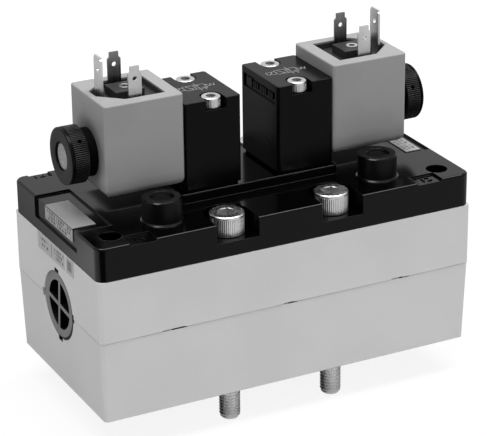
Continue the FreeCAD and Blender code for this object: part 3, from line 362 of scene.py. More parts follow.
class ShaderTree:
    """A shader node tree that is written as expressions."""

    def __init__(self, tree):
        self.tree = tree

    def node(self, kind, settings=None, inputs=None, output=0):
        """Add a node, set it, feed its sockets and return one output."""
        made = self.tree.nodes.new(kind)
        for key, value in (settings or {}).items():
            setattr(made, key, value)
        for key, value in (inputs or {}).items():
            self.feed(made.inputs[key], value)
        return None if output is None else Signal(self, made.outputs[output])

    def feed(self, socket, value):
        """Link a signal to a socket, or set the socket's value."""
        if isinstance(value, Signal):
            self.tree.links.new(value.socket, socket)
        else:
            socket.default_value = value

    def part(self, vector, letter):
        """One part of a vector."""
        return self.node("ShaderNodeSeparateXYZ", None, {0: vector}, letter)

    def ray(self, kind):
        """1 for light paths of one kind."""
        return self.node("ShaderNodeLightPath", output="Is " + kind + " Ray")

    def ramp(self, value, low, high, start=0.0, end=1.0):
        """Smooth step from start to end as the value goes from low to high."""
        return self.node(
            "ShaderNodeMapRange",
            {"interpolation_type": "SMOOTHSTEP"},
            {"Value": value, "From Min": low, "From Max": high, "To Min": start, "To Max": end},
        )

    def fade(self, value, low, high):
        """Smooth step from 1 down to 0 as the value goes from low to high."""
        return self.ramp(value, low, high, 1.0, 0.0)

    def mix(self, factor, first, second):
        """Blend of two colours."""
        return self.node(
            "ShaderNodeMix", {"data_type": "RGBA"}, {0: factor, 6: tone(first), 7: tone(second)}, 2
        )

    def most(self, first, second):
        """The larger of two values."""
        return self.node("ShaderNodeMath", {"operation": "MAXIMUM"}, {0: first, 1: second})

    def reach(self, across, along):
        """Distance from the place where both values are nought."""
        return self.node("ShaderNodeMath", {"operation": "SQRT"}, {0: across * across + along * along})


class Finish(ShaderTree):
    """A material of this object."""

    def __init__(self, name):
        self.material = bpy.data.materials.new(name)
        self.material.use_nodes = True
        super().__init__(self.material.node_tree)
        self.shader = self.tree.nodes["Principled BSDF"]

    def place(self):
        """Object coordinates."""
        return self.node("ShaderNodeTexCoord", output="Object")

    def axis(self, letter):
        """One object coordinate."""
        return self.part(self.place(), letter)

    def noise(self, scale, detail=3.0, stretch=(1.0, 1.0, 1.0)):
        """Noise of so many cells a metre, squeezed along the axes."""
        spread = self.node("ShaderNodeMapping", None, {"Vector": self.place(), "Scale": stretch})
        return self.node(
            "ShaderNodeTexNoise", None, {"Vector": spread, "Scale": scale, "Detail": detail}, "Fac"
        )

    def within(self, value, low, high, soft=0.05 * MM):
        """1 between two limits, with soft edges."""
        return self.ramp(value, low - soft, low + soft) * self.fade(value, high - soft, high + soft)

    def line(self, value, at, half_width):
        """1 along a fine line."""
        return self.fade(abs(value - at), half_width * 0.6, half_width)

    def bars(self, along, up, ends, bottom, tall, spacing):
        """A row of short bars of uneven grouping."""
        stroke = (along % spacing) < spacing * BAR_WIDTH
        group = (along % (spacing * BAR_GROUP_STEP)) < spacing * BAR_GROUP
        return self.within(along, *ends) * self.within(up, bottom, bottom + tall) * stroke * group

    def relief(self, height, distance, edge=0.0):
        """Feed the normal with a bump, over edges rounded by a radius."""
        inputs = {"Height": height, "Distance": distance, "Strength": 1.0}
        if edge > 0:
            inputs["Normal"] = self.node("ShaderNodeBevel", {"samples": 6}, {"Radius": edge})
        self.feed(self.shader.inputs["Normal"], self.node("ShaderNodeBump", None, inputs))

    def surface(self, colour, roughness, metallic=0.0, specular=0.5):
        """Feed the shader's main sockets."""
        self.feed(self.shader.inputs["Base Color"], colour)
        self.feed(self.shader.inputs["Roughness"], roughness)
        self.feed(self.shader.inputs["Metallic"], metallic)
        self.feed(self.shader.inputs["Specular IOR Level"], specular)


def die_cast():
    """Blasted light casting with a thin parting line and slits in it, and painted shade round the end plugs
    and in the notches for their lugs.
    """
    finish = Finish("die_cast")
    low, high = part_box("main_body")
    parting_at = PARTING_SHARE * (high.z - low.z) + low.z
    along, depth, height = finish.axis("X"), finish.axis("Y"), finish.axis("Z")
    facing = abs(finish.part(finish.node("ShaderNodeNewGeometry", output="True Normal"), "X"))
    on_end, on_side = facing > 0.5, facing < 0.5
    grain = finish.noise(2200.0, detail=4.0)
    cloud = finish.noise(26.0, detail=2.0)
    plain = finish.mix(finish.ramp(cloud, 0.3, 0.7), *CASTING_TONES)
    speckled = finish.mix(finish.ramp(grain, 0.35, 0.75) * 0.35, plain, CASTING_SPECK)
    parting = finish.line(height, parting_at, PARTING_LINE)
    wander = finish.ramp(finish.noise(55.0, detail=1.0), 0.35, 0.65, 0.25, 0.75)
    clearer = on_end * finish.ramp(depth, *PARTING_END_Y, *PARTING_END)
    lined = finish.mix(parting * (wander + clearer), speckled, PARTING_TONE)
    slits = sum(finish.fade(abs(along - place), half - SLIT_FADE, half) for place, half in PARTING_SLITS)
    slits = slits * finish.line(height, parting_at, SLIT_LINE)
    slits = slits * finish.ramp(abs(depth), SLIT_SIDE * high.y, high.y)
    # painted shade on the body's ends: in the notches for the plugs' lugs, weak at the rear one, and in the
    # gap round each plug
    notch = on_side * finish.within(finish.reach(depth, height - parting_at), *PLUG_NOTCH)
    notch = notch * finish.ramp(depth, *PLUG_NOTCH_Y, 1.0, PLUG_REAR_NOTCH)
    gap = on_end * finish.fade(finish.reach(depth + PLUG_SHADOW, height - parting_at), *PLUG_GAP)
    end = abs(along) > high.x - PLUG_END
    slits_and_plug_shade = finish.most(slits, end * finish.most(notch, gap))
    roughness = finish.ramp(grain, 0.2, 0.8, 0.48, 0.62)
    finish.surface(finish.mix(slits_and_plug_shade, lined, SLIT_TONE), roughness, specular=0.3)
    finish.relief(grain - parting * 0.6, 0.03 * MM, edge=0.25 * MM)
    return finish.material


def moulded(name, grey, rough, grain_scale, grain_depth, specular, edge, shade=None, dull=None):
    """Moulded plastic with a fine grain; a shade function paints shade on some places, a dull one roughens
    some.
    """
    finish = Finish(name)
    grain = finish.noise(grain_scale)
    cloud = finish.ramp(finish.noise(40.0, detail=2.0), 0.3, 0.7)
    tone_and_painted_shade = 0.93 + cloud * 0.14
    if shade is not None:
        tone_and_painted_shade = tone_and_painted_shade * shade(finish)
    fine = finish.ramp(grain + cloud * 0.25, 0.4, 0.9, rough - 0.04, rough + 0.04)
    if dull is not None:
        fine = fine + dull(finish)
    finish.surface(finish.mix(tone_and_painted_shade, 0.0, grey), fine, specular=specular)
    finish.relief(grain, grain_depth, edge)
    return finish.material


def cover_dull(finish):
    """Extra roughness of the cover on the sides of the override bosses and under the coils."""
    low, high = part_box("override_left")
    coil_low, coil_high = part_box("coil_left")
    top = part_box("top_cover")[1].z
    out, depth = abs(finish.axis("X")), finish.axis("Y")
    from_boss = finish.reach(out + (low.x + high.x) / 2, depth - (low.y + high.y) / 2)
    side = finish.fade(finish.axis("Z"), *offset(top, BOSS_TOP_Z))
    inner, outer, soft_x = UNDER_COIL_X
    front, rear, soft_y = UNDER_COIL_Y
    under = finish.within(out, inner - coil_high.x, -coil_low.x - outer, soft_x)
    under = under * finish.within(depth, coil_low.y + front, coil_high.y - rear, soft_y)
    return finish.most(finish.fade(from_boss, *BOSS_REACH) * side * BOSS_DULL, under * UNDER_COIL_DULL)


def coil_shade(finish):
    """Painted shade on the coils: darker near their foot, round the nut and on the walls of the connector
    window.
    """
    low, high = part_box("connector_base_left")
    coil_low, coil_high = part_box("coil_left")
    nut_low, nut_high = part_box("ring_nut_left")
    out, depth, height = abs(finish.axis("X")), finish.axis("Y"), finish.axis("Z")
    foot = finish.ramp(height, coil_low.z, coil_low.z + COIL_SHADOW, COIL_FOOT_SHADE, 1.0)
    from_nut = finish.reach(depth, height - (nut_low.z + nut_high.z) / 2)
    outermost = finish.ramp(out, *offset(-coil_low.x, COIL_END_X))
    near_nut = 1.0 - outermost * finish.ramp(from_nut, *NUT_SHADE_REACH, NUT_SHADE, 0.0)
    across = finish.fade(abs(depth), *offset(high.y, CONNECTOR_WALL_Y))
    outer = finish.within(out, -high.x - CONNECTOR_WALL_X, -low.x + CONNECTOR_WALL_X)
    sunk = finish.within(height, low.z - CONNECTOR_WALL_Z[0], coil_high.z - CONNECTOR_WALL_Z[1], 0.2 * MM)
    return (1.0 - across * outer * sunk * CONNECTOR_WALL_SHADE) * foot * near_nut


def plug_plastic():
    """Grey moulded plug with painted shade: its deep pockets, the edges of its ribs and its front edge read
    black.
    """
    finish = Finish("plug_grey")
    low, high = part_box("end_plug_left")
    face = max(-low.x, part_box("end_plug_right")[1].x)
    turned = math.radians(PLUG_TURN)
    depth, up = finish.axis("Y"), finish.axis("Z") - (low.z + high.z) / 2
    # painted shade: a dark front edge, and black below the face and beside the ribs inside the pockets
    outer = finish.fade(finish.reach(depth - PLUG_SHADOW, up), *PLUG_EDGE)
    shallow = finish.ramp(abs(finish.axis("X")), *offset(face, PLUG_FACE_X))
    across = abs(depth * math.cos(turned) + up * math.sin(turned))
    along = abs(up * math.cos(turned) - depth * math.sin(turned))
    off_ribs = finish.ramp(across, *PLUG_RIB) * finish.ramp(along, *PLUG_RIB)
    inner = finish.fade(finish.reach(depth, up), *PLUG_CAVITY)
    tone_and_painted_shade = shallow * outer * (1.0 - off_ribs * inner)
    finish.surface(finish.mix(tone_and_painted_shade, *PLUG_TONES), 0.48, specular=0.2)
    finish.relief(finish.noise(1500.0), 0.008 * MM, edge=0.20 * MM)
    return finish.material


def nut_plastic():
    """Black ring nut whose ridge crests carry a painted highlight, uneven and strongest on the upper ones."""
    finish = Finish("nut_black")
    low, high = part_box("ring_nut_left")
    middle = (low.z + high.z) / 2
    height = finish.axis("Z")
    grain = finish.noise(1800.0)
    knurled = finish.fade(abs(finish.axis("X")), *offset(-low.x - NUT_RIM, NUT_KNURL_END))
    from_axis = finish.reach(finish.axis("Y"), height - middle)
    crest = knurled * finish.ramp(from_axis, *offset((high.z - low.z) / 2, NUT_CREST))
    # painted highlight on the crests, uneven and strongest on the upper ones
    wear_and_highlight = finish.ramp(finish.noise(260.0, detail=2.0), 0.35, 0.65, 0.5, 1.0)
    wear_and_highlight = wear_and_highlight * finish.ramp(height, *offset(middle, NUT_HIGHLIGHT_Z), 0.2, 1.0)
    finish.surface(
        finish.mix(crest * wear_and_highlight, *NUT_TONES), finish.ramp(grain, 0.3, 0.8, 0.26, 0.36), specular=0.12
    )
    finish.relief(grain, 0.004 * MM, edge=0.03 * MM)
    return finish.material


def metal(name, grey, rough, streak=(1.0, 1.0, 1.0), shade=None, dull=None):
    """Metal with fine tool marks; a shade function paints shade on some places, a dull one blackens some."""
    finish = Finish(name)
    marks = finish.noise(900.0, 4.0, streak)
    stain_and_shade = finish.ramp(finish.noise(160.0, detail=2.0), 0.3, 0.75, 1.0, 0.86)
    if shade is not None:
        stain_and_shade = stain_and_shade * shade(finish)
    fine = finish.ramp(marks, 0.25, 0.75, rough * 0.8, rough * 1.3)
    bright = 1.0
    if dull is not None:
        oxide = dull(finish)
        fine = fine + oxide * 0.3
        bright = 1.0 - oxide
    finish.surface(finish.mix(stain_and_shade, 0.0, grey), fine, bright)
    finish.relief(marks, 0.004 * MM)
    return finish.material


def from_screws(finish, node, size):
    """Distance from the nearest axis of a node's four screws."""
    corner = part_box(node)[1]
    across = abs(finish.axis("X")) - (corner.x - size["radius"])
    along = abs(finish.axis("Y")) - (corner.y - size["radius"])
    return finish.reach(across, along)


def socket_area(finish, node, size):
    """1 in the sockets of a node's cap screws."""
    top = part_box(node)[1].z
    limits = [share * size["socket"] for share in SOCKET_FADE]
    inside = finish.fade(from_screws(finish, node, size), *limits)
    return inside * finish.within(finish.axis("Z"), top - 1.1 * size["depth"], top + OVERCUT)


def screw_oxide(finish):
    """Dull metal down in the sockets of both kinds of cap screw."""
    return sum(socket_area(finish, node, size) * size["oxide"] for node, size in CAP_SCREWS)


def screw_shade(finish):
    """Painted shade on the cap screws: in the socket, on the flat top, and where heads and threads face the
    dark side.
    """
    tone_and_painted_shade = 1.0
    height = finish.axis("Z")
    for node, size in CAP_SCREWS:
        on_head = finish.fade(from_screws(finish, node, size), *offset(size["radius"], SCREW_RIM))
        flat = finish.ramp(height, *offset(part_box(node)[1].z, SCREW_TOP_Z))
        tone_and_painted_shade = tone_and_painted_shade - socket_area(finish, node, size) * size["shade"] - on_head * flat * SCREW_TOP_SHADE
    normal = finish.node("ShaderNodeTexCoord", output="Normal")
    aside = finish.part(normal, "X") * SCREW_BRIGHT_WAY[0] + finish.part(normal, "Y") * SCREW_BRIGHT_WAY[1]
    turned = finish.ramp(aside, *THREAD_TURN, THREAD_SHADE, 1.0)
    turned = turned * finish.ramp(aside, *THREAD_FAR_TURN, 1.0, THREAD_FAR_SHADE)
    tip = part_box("mounting_screws")[0].z
    turned = turned * finish.ramp(height, tip, THREAD_RISE_TOP, *THREAD_RISE_SHADE)
    below = finish.fade(height, *THREAD_TOP_Z)
    beside = (1.0 - below) * finish.fade(abs(finish.part(normal, "Z")), *HEAD_UPRIGHT)
    away = finish.ramp(aside, *HEAD_TURN, HEAD_SHADE, 1.0)
    return tone_and_painted_shade * (1.0 - below * (1.0 - turned)) * (1.0 - beside * (1.0 - away))


def tab_shade(finish):
    """Painted shade on the terminals: darker towards their foot, the rear ones most, with a little painted
    light at their tips.
    """
    foot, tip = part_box("terminals_left")
    risen = finish.ramp(finish.axis("Z"), foot.z, tip.z, *TAB_SHADE)
    return risen * finish.ramp(finish.axis("Y"), *REAR_TAB_Y, 1.0, REAR_TAB_SHADE)


def sintered():
    """Porous disc of pressed grains, with a painted shadow on one side of its rim."""
    finish = Finish("sintered_metal")
    grains = finish.node(
        "ShaderNodeTexVoronoi", {"feature": "F1"}, {"Vector": finish.place(), "Scale": 2100.0}, "Distance"
    )
    pores = finish.ramp(grains, 0.25, 0.6)
    low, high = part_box("filter_left")
    from_axis = finish.reach(finish.axis("Y") + FILTER_SHADOW, finish.axis("Z") - (low.z + high.z) / 2)
    # painted shadow on the rim, set off to one side
    tone_and_painted_shade = finish.ramp(from_axis, *FILTER_LIT, 1.0, 0.01)
    finish.surface(finish.mix(tone_and_painted_shade, 0.0, finish.mix(pores, 0.47, 0.23)), 0.62, 0.2)
    finish.relief(1.0 - pores, 0.12 * MM)
    return finish.material


def rubber():
    """Plain black seal rubber."""
    finish = Finish("seal_rubber")
    bloom = finish.noise(300.0)
    finish.surface(finish.mix(bloom, 0.0008, 0.002), 0.72, specular=0.05)
    finish.relief(bloom, 0.01 * MM)
    return finish.material


def plate_foil(side, up_axis, rows):
    """Satin foil plate with rows of printed bars, on its end leg where it is folded and else on top; a folded
    plate has painted shade on its top and along its fold.
    """
    finish = Finish("plate_foil_" + side)
    low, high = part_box("nameplate_" + side)
    along, up = finish.axis("Y"), finish.axis(up_axis)
    origin = getattr(low, up_axis.lower())
    brushed = finish.noise(700.0, stretch=(1.0, 0.12, 1.0))
    wear_and_highlight = finish.ramp(finish.noise(900.0, detail=2.0), 0.35, 0.55, 0.5, 1.0)
    print_mask = 0.0
    for start, end, height, spacing in rows:
        ends = (low.y + start, high.y - end)
        print_mask = print_mask + finish.bars(along, up, ends, origin + height, PLATE_PRINT, spacing)
    printed = print_mask * wear_and_highlight
    ink = FLAT_PLATE_INK
    light = FLAT_PLATE_LIGHT
    if up_axis == "Z":
        on_top = finish.ramp(up, *offset(high.z, FOLDED_TOP_Z))
        # painted shade along the fold and on the top
        fold = finish.line(up, high.z - FOLD_Z, FOLD_LINE)
        printed = finish.most(printed, fold) * (1.0 - on_top)
        ink = FOLDED_PLATE_INK
        light = FOLDED_PLATE_LIGHT - FOLDED_TOP_SHADE * on_top
    foil = finish.mix(light * (0.40 + brushed * 0.10), 0.0, PLATE_TONE)
    roughness = finish.ramp(brushed, 0.3, 0.7, 0.34, 0.46)
    finish.surface(finish.mix(printed * ink, foil, PLATE_PRINT_TONE), roughness, 0.35, 0.3)
    finish.relief(brushed, 0.006 * MM, edge=0.12 * MM)
    return finish.material


def label_film():
    """Printed film with three cells on the body's end."""
    finish = Finish("label_film")
    low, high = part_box("end_label")
    along, up = finish.axis("Y"), finish.axis("Z")

    def between(margins):
        return finish.within(up, low.z + margins[0], high.z - margins[1])

    inks = finish.line(along, LABEL_BAR, LABEL_BAR_LINE) * between(LABEL_BAR_MARGINS)
    inks = inks + LABEL_STAMP_INK * finish.within(along, *LABEL_STAMP) * between(LABEL_STAMP_MARGINS)
    for start, end, height, spacing in LABEL_ROWS:
        inks = inks + finish.bars(along, up, (start, end), low.z + height, LABEL_PRINT, spacing)
    gap = finish.line(along, LABEL_GAP, LABEL_GAP_LINE)
    film = finish.mix(gap, finish.mix(finish.noise(90.0, detail=2.0), *LABEL_TONES), LABEL_GAP_TONE)
    finish.surface(finish.mix(inks * LABEL_INK, film, LABEL_INK_TONE), 0.5)
    return finish.material


# Moulded: grey, roughness, cells of grain a metre, depth of grain, specular level and edge rounding
# Metal: grey, roughness and how the tool marks are squeezed along each axis
FINISHES = {
    "die_cast": die_cast(),
    "cover_black": moulded("cover_black", 0.0005, 0.17, 1500.0, 0.002 * MM, 0.20, 0.30 * MM, dull=cover_dull),
    "pilot_black": moulded("pilot_black", 0.0006, 0.24, 1800.0, 0.004 * MM, 0.12, 0.25 * MM),
    "nut_black": nut_plastic(),
    "button_black": moulded("button_black", 0.001, 0.35, 1500.0, 0.005 * MM, 0.08, 0.15 * MM),
    "coil_grey": moulded("coil_grey", 0.272, 0.55, 1300.0, 0.012 * MM, 0.30, 0.35 * MM, coil_shade),
    "connector_dark": moulded("connector_dark", 0.022, 0.50, 1600.0, 0.010 * MM, 0.3, 0.15 * MM),
    "plug_grey": plug_plastic(),
    "screw_steel": metal("screw_steel", 0.95, 0.27, (1.0, 1.0, 0.2), shade=screw_shade, dull=screw_oxide),
    "tin_plate": metal("tin_plate", 0.80, 0.28, (1.0, 1.0, 0.08), shade=tab_shade),
    "machined_steel": metal("machined_steel", 0.60, 0.30, (0.1, 1.0, 1.0)),
    "spool_alloy": metal("spool_alloy", 0.66, 0.32, (0.1, 1.0, 1.0)),
    "insert_metal": metal("insert_metal", 0.72, 0.25),
    "seal_rubber": rubber(),
    "sintered": sintered(),
    "plate_left": plate_foil("left", "Z", FOLDED_PLATE_ROWS),
    "plate_right": plate_foil("right", "X", FLAT_PLATE_ROWS),
    "label": label_film(),
    "print_white": moulded("print_white", 0.28, 0.5, 900.0, 0.002 * MM, 0.3, 0.0),
}


def dress(finish_name, *node_names):
    """Give CAD nodes a finish; a name with an open end stands for a left and a right node."""
    for name in node_names:
        for node in (name + "left", name + "right") if name.endswith("_") else (name,):
            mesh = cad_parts[node].data
            mesh.materials.clear()
            mesh.materials.append(FINISHES[finish_name])


dress("die_cast", "main_body")
dress("cover_black", "top_cover")
dress("pilot_black", "pilot_body_")
dress("nut_black", "ring_nut_")
dress("button_black", "override_")
dress("coil_grey", "coil_")
dress("connector_dark", "connector_base_")
dress("plug_grey", "end_plug_", "piston_")
dress("screw_steel", "mounting_screws", "pilot_screws")
dress("tin_plate", "terminals_")
dress("machined_steel", "armature_tube_", "fixed_core_", "armature_", "armature_spring_", "override_spring_")
dress("spool_alloy", "spool_sleeve", "main_spool")
dress("insert_metal", "connector_insert_")
dress("seal_rubber", "cover_gasket", "base_gasket", "pilot_gaskets", "nut_seal_")
dress("seal_rubber", "plug_seals", "sleeve_seals", "piston_seals")
dress("sintered", "filter_")
dress("plate_left", "nameplate_left")
dress("plate_right", "nameplate_right")
dress("label", "end_label")


def add_piece(name, mesh, finish_name):
    """Link a mesh as a piece of the object that rides on the valve."""
    piece = bpy.data.objects.new(name, mesh)
    bpy.context.scene.collection.objects.link(piece)
    mesh.materials.clear()
    mesh.materials.append(FINISHES[finish_name])
    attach(piece, "valve")
    return piece


def mesh_from(name, build, crease=35.0):
    """Mesh that a function fills in bmesh, smooth but for edges over an angle."""
    work = bmesh.new()
    build(work)
    bmesh.ops.remove_doubles(work, verts=work.verts, dist=0.0005 * MM)
    bmesh.ops.recalc_face_normals(work, faces=work.faces)
    mesh = bpy.data.meshes.new(name)
    work.to_mesh(mesh)
    work.free()
    crease_edges(mesh, crease)
    return mesh


def crease_edges(mesh, angle):
    """Shade smooth and mark the edges sharper than an angle in degrees."""
    work = bmesh.new()
    work.from_mesh(mesh)
    limit = math.radians(angle)
    for face in work.faces:
        face.smooth = True
    for edge in work.edges:
        edge.smooth = len(edge.link_faces) == 2 and edge.calc_face_angle() < limit
    work.to_mesh(mesh)
    work.free()


def turn(work, profile, steps):
    """Surface of revolution about Z of (radius, height) pairs, closed where the radius is nought."""
    rings = []
    for radius, height in profile:
        if radius <= 0:
            rings.append([work.verts.new((0, 0, height))])
            continue
        ring = []
        for step in range(steps):
            angle = math.tau * step / steps
            ring.append(work.verts.new((radius * math.cos(angle), radius * math.sin(angle), height)))
        rings.append(ring)
    for low, high in zip(rings, rings[1:]):
        if len(low) == len(high) == 1:
            continue
        for step in range(steps):
            after = (step + 1) % steps
            corners = [low[step % len(low)], low[after % len(low)]]
            corners += [high[after % len(high)], high[step % len(high)]]
            work.faces.new(list(dict.fromkeys(corners)))


def arc(centre_r, centre_z, radius, start, end, steps):
    """(radius, height) pairs along an arc between two angles in degrees, 0 pointing outwards."""
    points = []
    for step in range(steps + 1):
        angle = math.radians(start + (end - start) * step / steps)
        points.append((centre_r + radius * math.cos(angle), centre_z + radius * math.sin(angle)))
    return points


def carve(mesh, cutter_mesh):
    """Take one closed mesh out of another."""
    whole = bpy.data.objects.new("carve_whole", mesh)
    cutter = bpy.data.objects.new("carve_cutter", cutter_mesh)
    for item in (whole, cutter):
        bpy.context.scene.collection.objects.link(item)
    cut = whole.modifiers.new("cut", "BOOLEAN")
    cut.object = cutter
    cut.operation = "DIFFERENCE"
    cut.solver = "EXACT"
    result = evaluated_mesh(whole)
    for item in (whole, cutter):
        bpy.data.objects.remove(item)
    return result


def evaluated_mesh(item):
    """Plain mesh of an object with its modifiers worked out."""
    bpy.context.view_layer.update()
    return bpy.data.meshes.new_from_object(item.evaluated_get(bpy.context.evaluated_depsgraph_get()))


class Tree:
    """A geometry node tree with named inputs."""

    def __init__(self, name, inputs):
        self.group = bpy.data.node_groups.new(name, "GeometryNodeTree")
        self.group.interface.new_socket("Geometry", in_out="INPUT", socket_type="NodeSocketGeometry")
        for label, kind in inputs:
            self.group.interface.new_socket(label, in_out="INPUT", socket_type="NodeSocket" + kind)
        self.group.interface.new_socket("Geometry", in_out="OUTPUT", socket_type="NodeSocketGeometry")
        self.source = self.group.nodes.new("NodeGroupInput")
        self.sink = self.group.nodes.new("NodeGroupOutput")

    def given(self, label):
        """One of the tree's own inputs."""
        return self.source.outputs[label]

    def node(self, kind, settings=None, inputs=None, output=0):
        """Add a node, set it, feed its sockets and return one output."""
        made = self.group.nodes.new(kind)
        for key, value in (settings or {}).items():
            setattr(made, key, value)
        for key, value in (inputs or {}).items():
            for one in value if isinstance(value, list) else [value]:
                if isinstance(one, bpy.types.NodeSocket):
                    self.group.links.new(one, made.inputs[key])
                else:
                    made.inputs[key].default_value = one
        return made.outputs[output]

    def sums(self, operation, *values):
        """Output of a Math node."""
        return self.node("ShaderNodeMath", {"operation": operation}, dict(enumerate(values)))

    def close(self, geometry):
        """Realize what was instanced, give it its material and end the tree."""
        solid = self.node("GeometryNodeRealizeInstances", None, {0: geometry})
        dressed = self.node(
            "GeometryNodeSetMaterial", None, {"Geometry": solid, "Material": self.given("Material")}
        )
        self.group.links.new(dressed, self.sink.inputs[0])

    def run(self, mesh, values):
        """Plain mesh of this tree worked out on a mesh."""
        carrier = bpy.data.objects.new("tree_carrier", mesh)
        bpy.context.scene.collection.objects.link(carrier)
        work = carrier.modifiers.new("tree", "NODES")
        work.node_group = self.group
        for item in self.group.interface.items_tree:
            if item.in_out == "INPUT" and item.name in values:
                work[item.identifier] = values[item.name]
        result = evaluated_mesh(carrier)
        bpy.data.objects.remove(carrier)
        return result


def ridge_tree():
    """Straight knurl: ridges set in a ring about Z round the mesh that is given."""
    tree = Tree("straight_knurl", [
        ("Count", "Int"), ("Radius", "Float"), ("Ridge Width", "Float"), ("Ridge Height", "Float"),
        ("Bottom", "Float"), ("Length", "Float"), ("Material", "Material"),
    ])
    ring = tree.node(
        "GeometryNodeMeshCircle", None, {"Vertices": tree.given("Count"), "Radius": tree.given("Radius")}
    )
    prism = tree.node("GeometryNodeMeshCylinder", None, {"Vertices": 12, "Radius": 1.0, "Depth": 1.0})
    size = tree.node("ShaderNodeCombineXYZ", None, {
        "X": tree.given("Ridge Height"),
        "Y": tree.sums("MULTIPLY", tree.given("Ridge Width"), 0.5),
        "Z": tree.given("Length"),
    })
    shift = tree.node("ShaderNodeCombineXYZ", None, {
        "Z": tree.sums("MULTIPLY_ADD", tree.given("Length"), 0.5, tree.given("Bottom")),
    })
    ridge = tree.node("GeometryNodeTransform", None, {"Geometry": prism, "Scale": size, "Translation": shift})
    step = tree.sums("DIVIDE", math.tau, tree.given("Count"))
    angle = tree.sums("MULTIPLY", tree.node("GeometryNodeInputIndex"), step)
    ridges = tree.node("GeometryNodeInstanceOnPoints", None, {
        "Points": ring, "Instance": ridge, "Rotation": tree.node("ShaderNodeCombineXYZ", None, {"Z": angle}),
    })
    tree.close(tree.node("GeometryNodeJoinGeometry", None, {"Geometry": [tree.given("Geometry"), ridges]}))
    return tree


def pattern_tree():
    """The mesh that is given, set at the four corners of a rectangle."""
    tree = Tree("corner_pattern", [
        ("Spacing X", "Float"), ("Spacing Y", "Float"), ("Height", "Float"), ("Material", "Material"),
    ])
    corners = tree.node("GeometryNodeMeshGrid", None, {
        "Size X": tree.given("Spacing X"), "Size Y": tree.given("Spacing Y"),
        "Vertices X": 2, "Vertices Y": 2,
    })
    lift = tree.node("ShaderNodeCombineXYZ", None, {"Z": tree.given("Height")})
    lifted = tree.node("GeometryNodeTransform", None, {"Geometry": corners, "Translation": lift})
    tree.close(tree.node("GeometryNodeInstanceOnPoints", None, {
        "Points": lifted, "Instance": tree.given("Geometry"),
    }))
    return tree


KNURL = ridge_tree()
CORNERS = pattern_tree()


def cylinder_mesh(name, radius, bottom, top, steps):
    """Closed cylinder about Z, for carving."""
    profile = [(0, bottom), (radius, bottom), (radius, top), (0, top)]
    return mesh_from(name, lambda work: turn(work, profile, steps))


def hexagon_mesh(across_flats, bottom, top):
    """Closed hexagonal prism about Z with a shallow drill point, for carving."""
    reach = across_flats / math.sqrt(3)
    profile = [(0, bottom - SOCKET_DRILL_POINT * across_flats), (reach, bottom), (reach, top), (0, top)]
    return mesh_from("socket", lambda work: turn(work, profile, 6))


def joined(name, meshes):
    """One mesh of several."""
    work = bmesh.new()
    for mesh in meshes:
        work.from_mesh(mesh)
    whole = bpy.data.meshes.new(name)
    work.to_mesh(whole)
    work.free()
    return whole


def make_ring_nut(side):
    """Ring nut with a straight knurl, a groove behind its rim, a mouth for the filter and a pin hole."""
    low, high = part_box("ring_nut_" + side)
    filter_low, filter_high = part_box("filter_" + side)
    sign = -1 if side == "left" else 1
    face, back = (low.x, high.x) if sign < 0 else (high.x, low.x)
    filter_face = filter_low.x if sign < 0 else filter_high.x
    length = abs(face - back)
    outer = (high.z - low.z) / 2
    core = outer - NUT_RIDGE_HEIGHT
    groove = length - NUT_RIM
    mouth = (filter_high.z - filter_low.z) / 2 + NUT_MOUTH_PLAY
    mouth_floor = length - abs(face - filter_face) - NUT_FILTER_SEAT
    floor_back = mouth_floor - NUT_FLOOR
    profile = [
        (NUT_BORE, 0.0), (core - NUT_CHAMFER, 0.0), (core, NUT_CHAMFER), (core, groove - NUT_GROOVE),
        (outer - NUT_GROOVE, groove - 0.8 * NUT_GROOVE), (outer - NUT_GROOVE, groove - 0.2 * NUT_GROOVE),
        (outer - NUT_RIM_CHAMFER, groove),
    ]
    profile += arc(outer - NUT_ROUND, length - NUT_ROUND, NUT_ROUND, 0, 90, 8)
    profile += arc(mouth + NUT_MOUTH_ROUND, length - NUT_MOUTH_ROUND, NUT_MOUTH_ROUND, 90, 180, 4)
    profile += [(mouth, mouth_floor), (0.0, mouth_floor), (0.0, floor_back), (NUT_BORE, floor_back)]
    profile += [(NUT_BORE, 0.0)]
    body = mesh_from("nut_body", lambda work: turn(work, profile, 128))
    ridges = KNURL.run(bpy.data.meshes.new("no_mesh"), {
        "Count": NUT_RIDGES, "Radius": core, "Ridge Width": NUT_RIDGE_WIDTH, "Ridge Height": NUT_RIDGE_HEIGHT,
        "Bottom": NUT_CHAMFER, "Length": groove - NUT_GROOVE - 1.4 * NUT_CHAMFER,
        "Material": FINISHES["nut_black"],
    })
    # the nut's own frame has Z leaving the valve; its front stays at the valve's front
    place = Matrix((
        (0, 0, sign, back),
        (0, sign, 0, 0),
        (-1, 0, 0, (low.z + high.z) / 2),
        (0, 0, 0, 1),
    ))
    angle = math.radians(NUT_HOLE_ANGLES[side])
    outwards = place.to_3x3().inverted() @ Vector((0, -math.cos(angle), math.sin(angle)))
    hole = cylinder_mesh("pin_hole", NUT_HOLE_RADIUS, 0.0, NUT_HOLE_DEPTH + OVERCUT, 24)
    hole.transform(
        Matrix.Translation(outwards * (outer - NUT_HOLE_DEPTH) + Vector((0, 0, groove * NUT_HOLE_PLACE)))
        @ outwards.to_track_quat("Z", "Y").to_matrix().to_4x4()
    )
    mesh = joined("ring_nut", [carve(body, hole), carve(ridges, hole)])
    crease_edges(mesh, 35.0)
    mesh.transform(place)
    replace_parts(add_piece("knurled_nut_" + side, mesh, "nut_black"), "ring_nut_" + side)


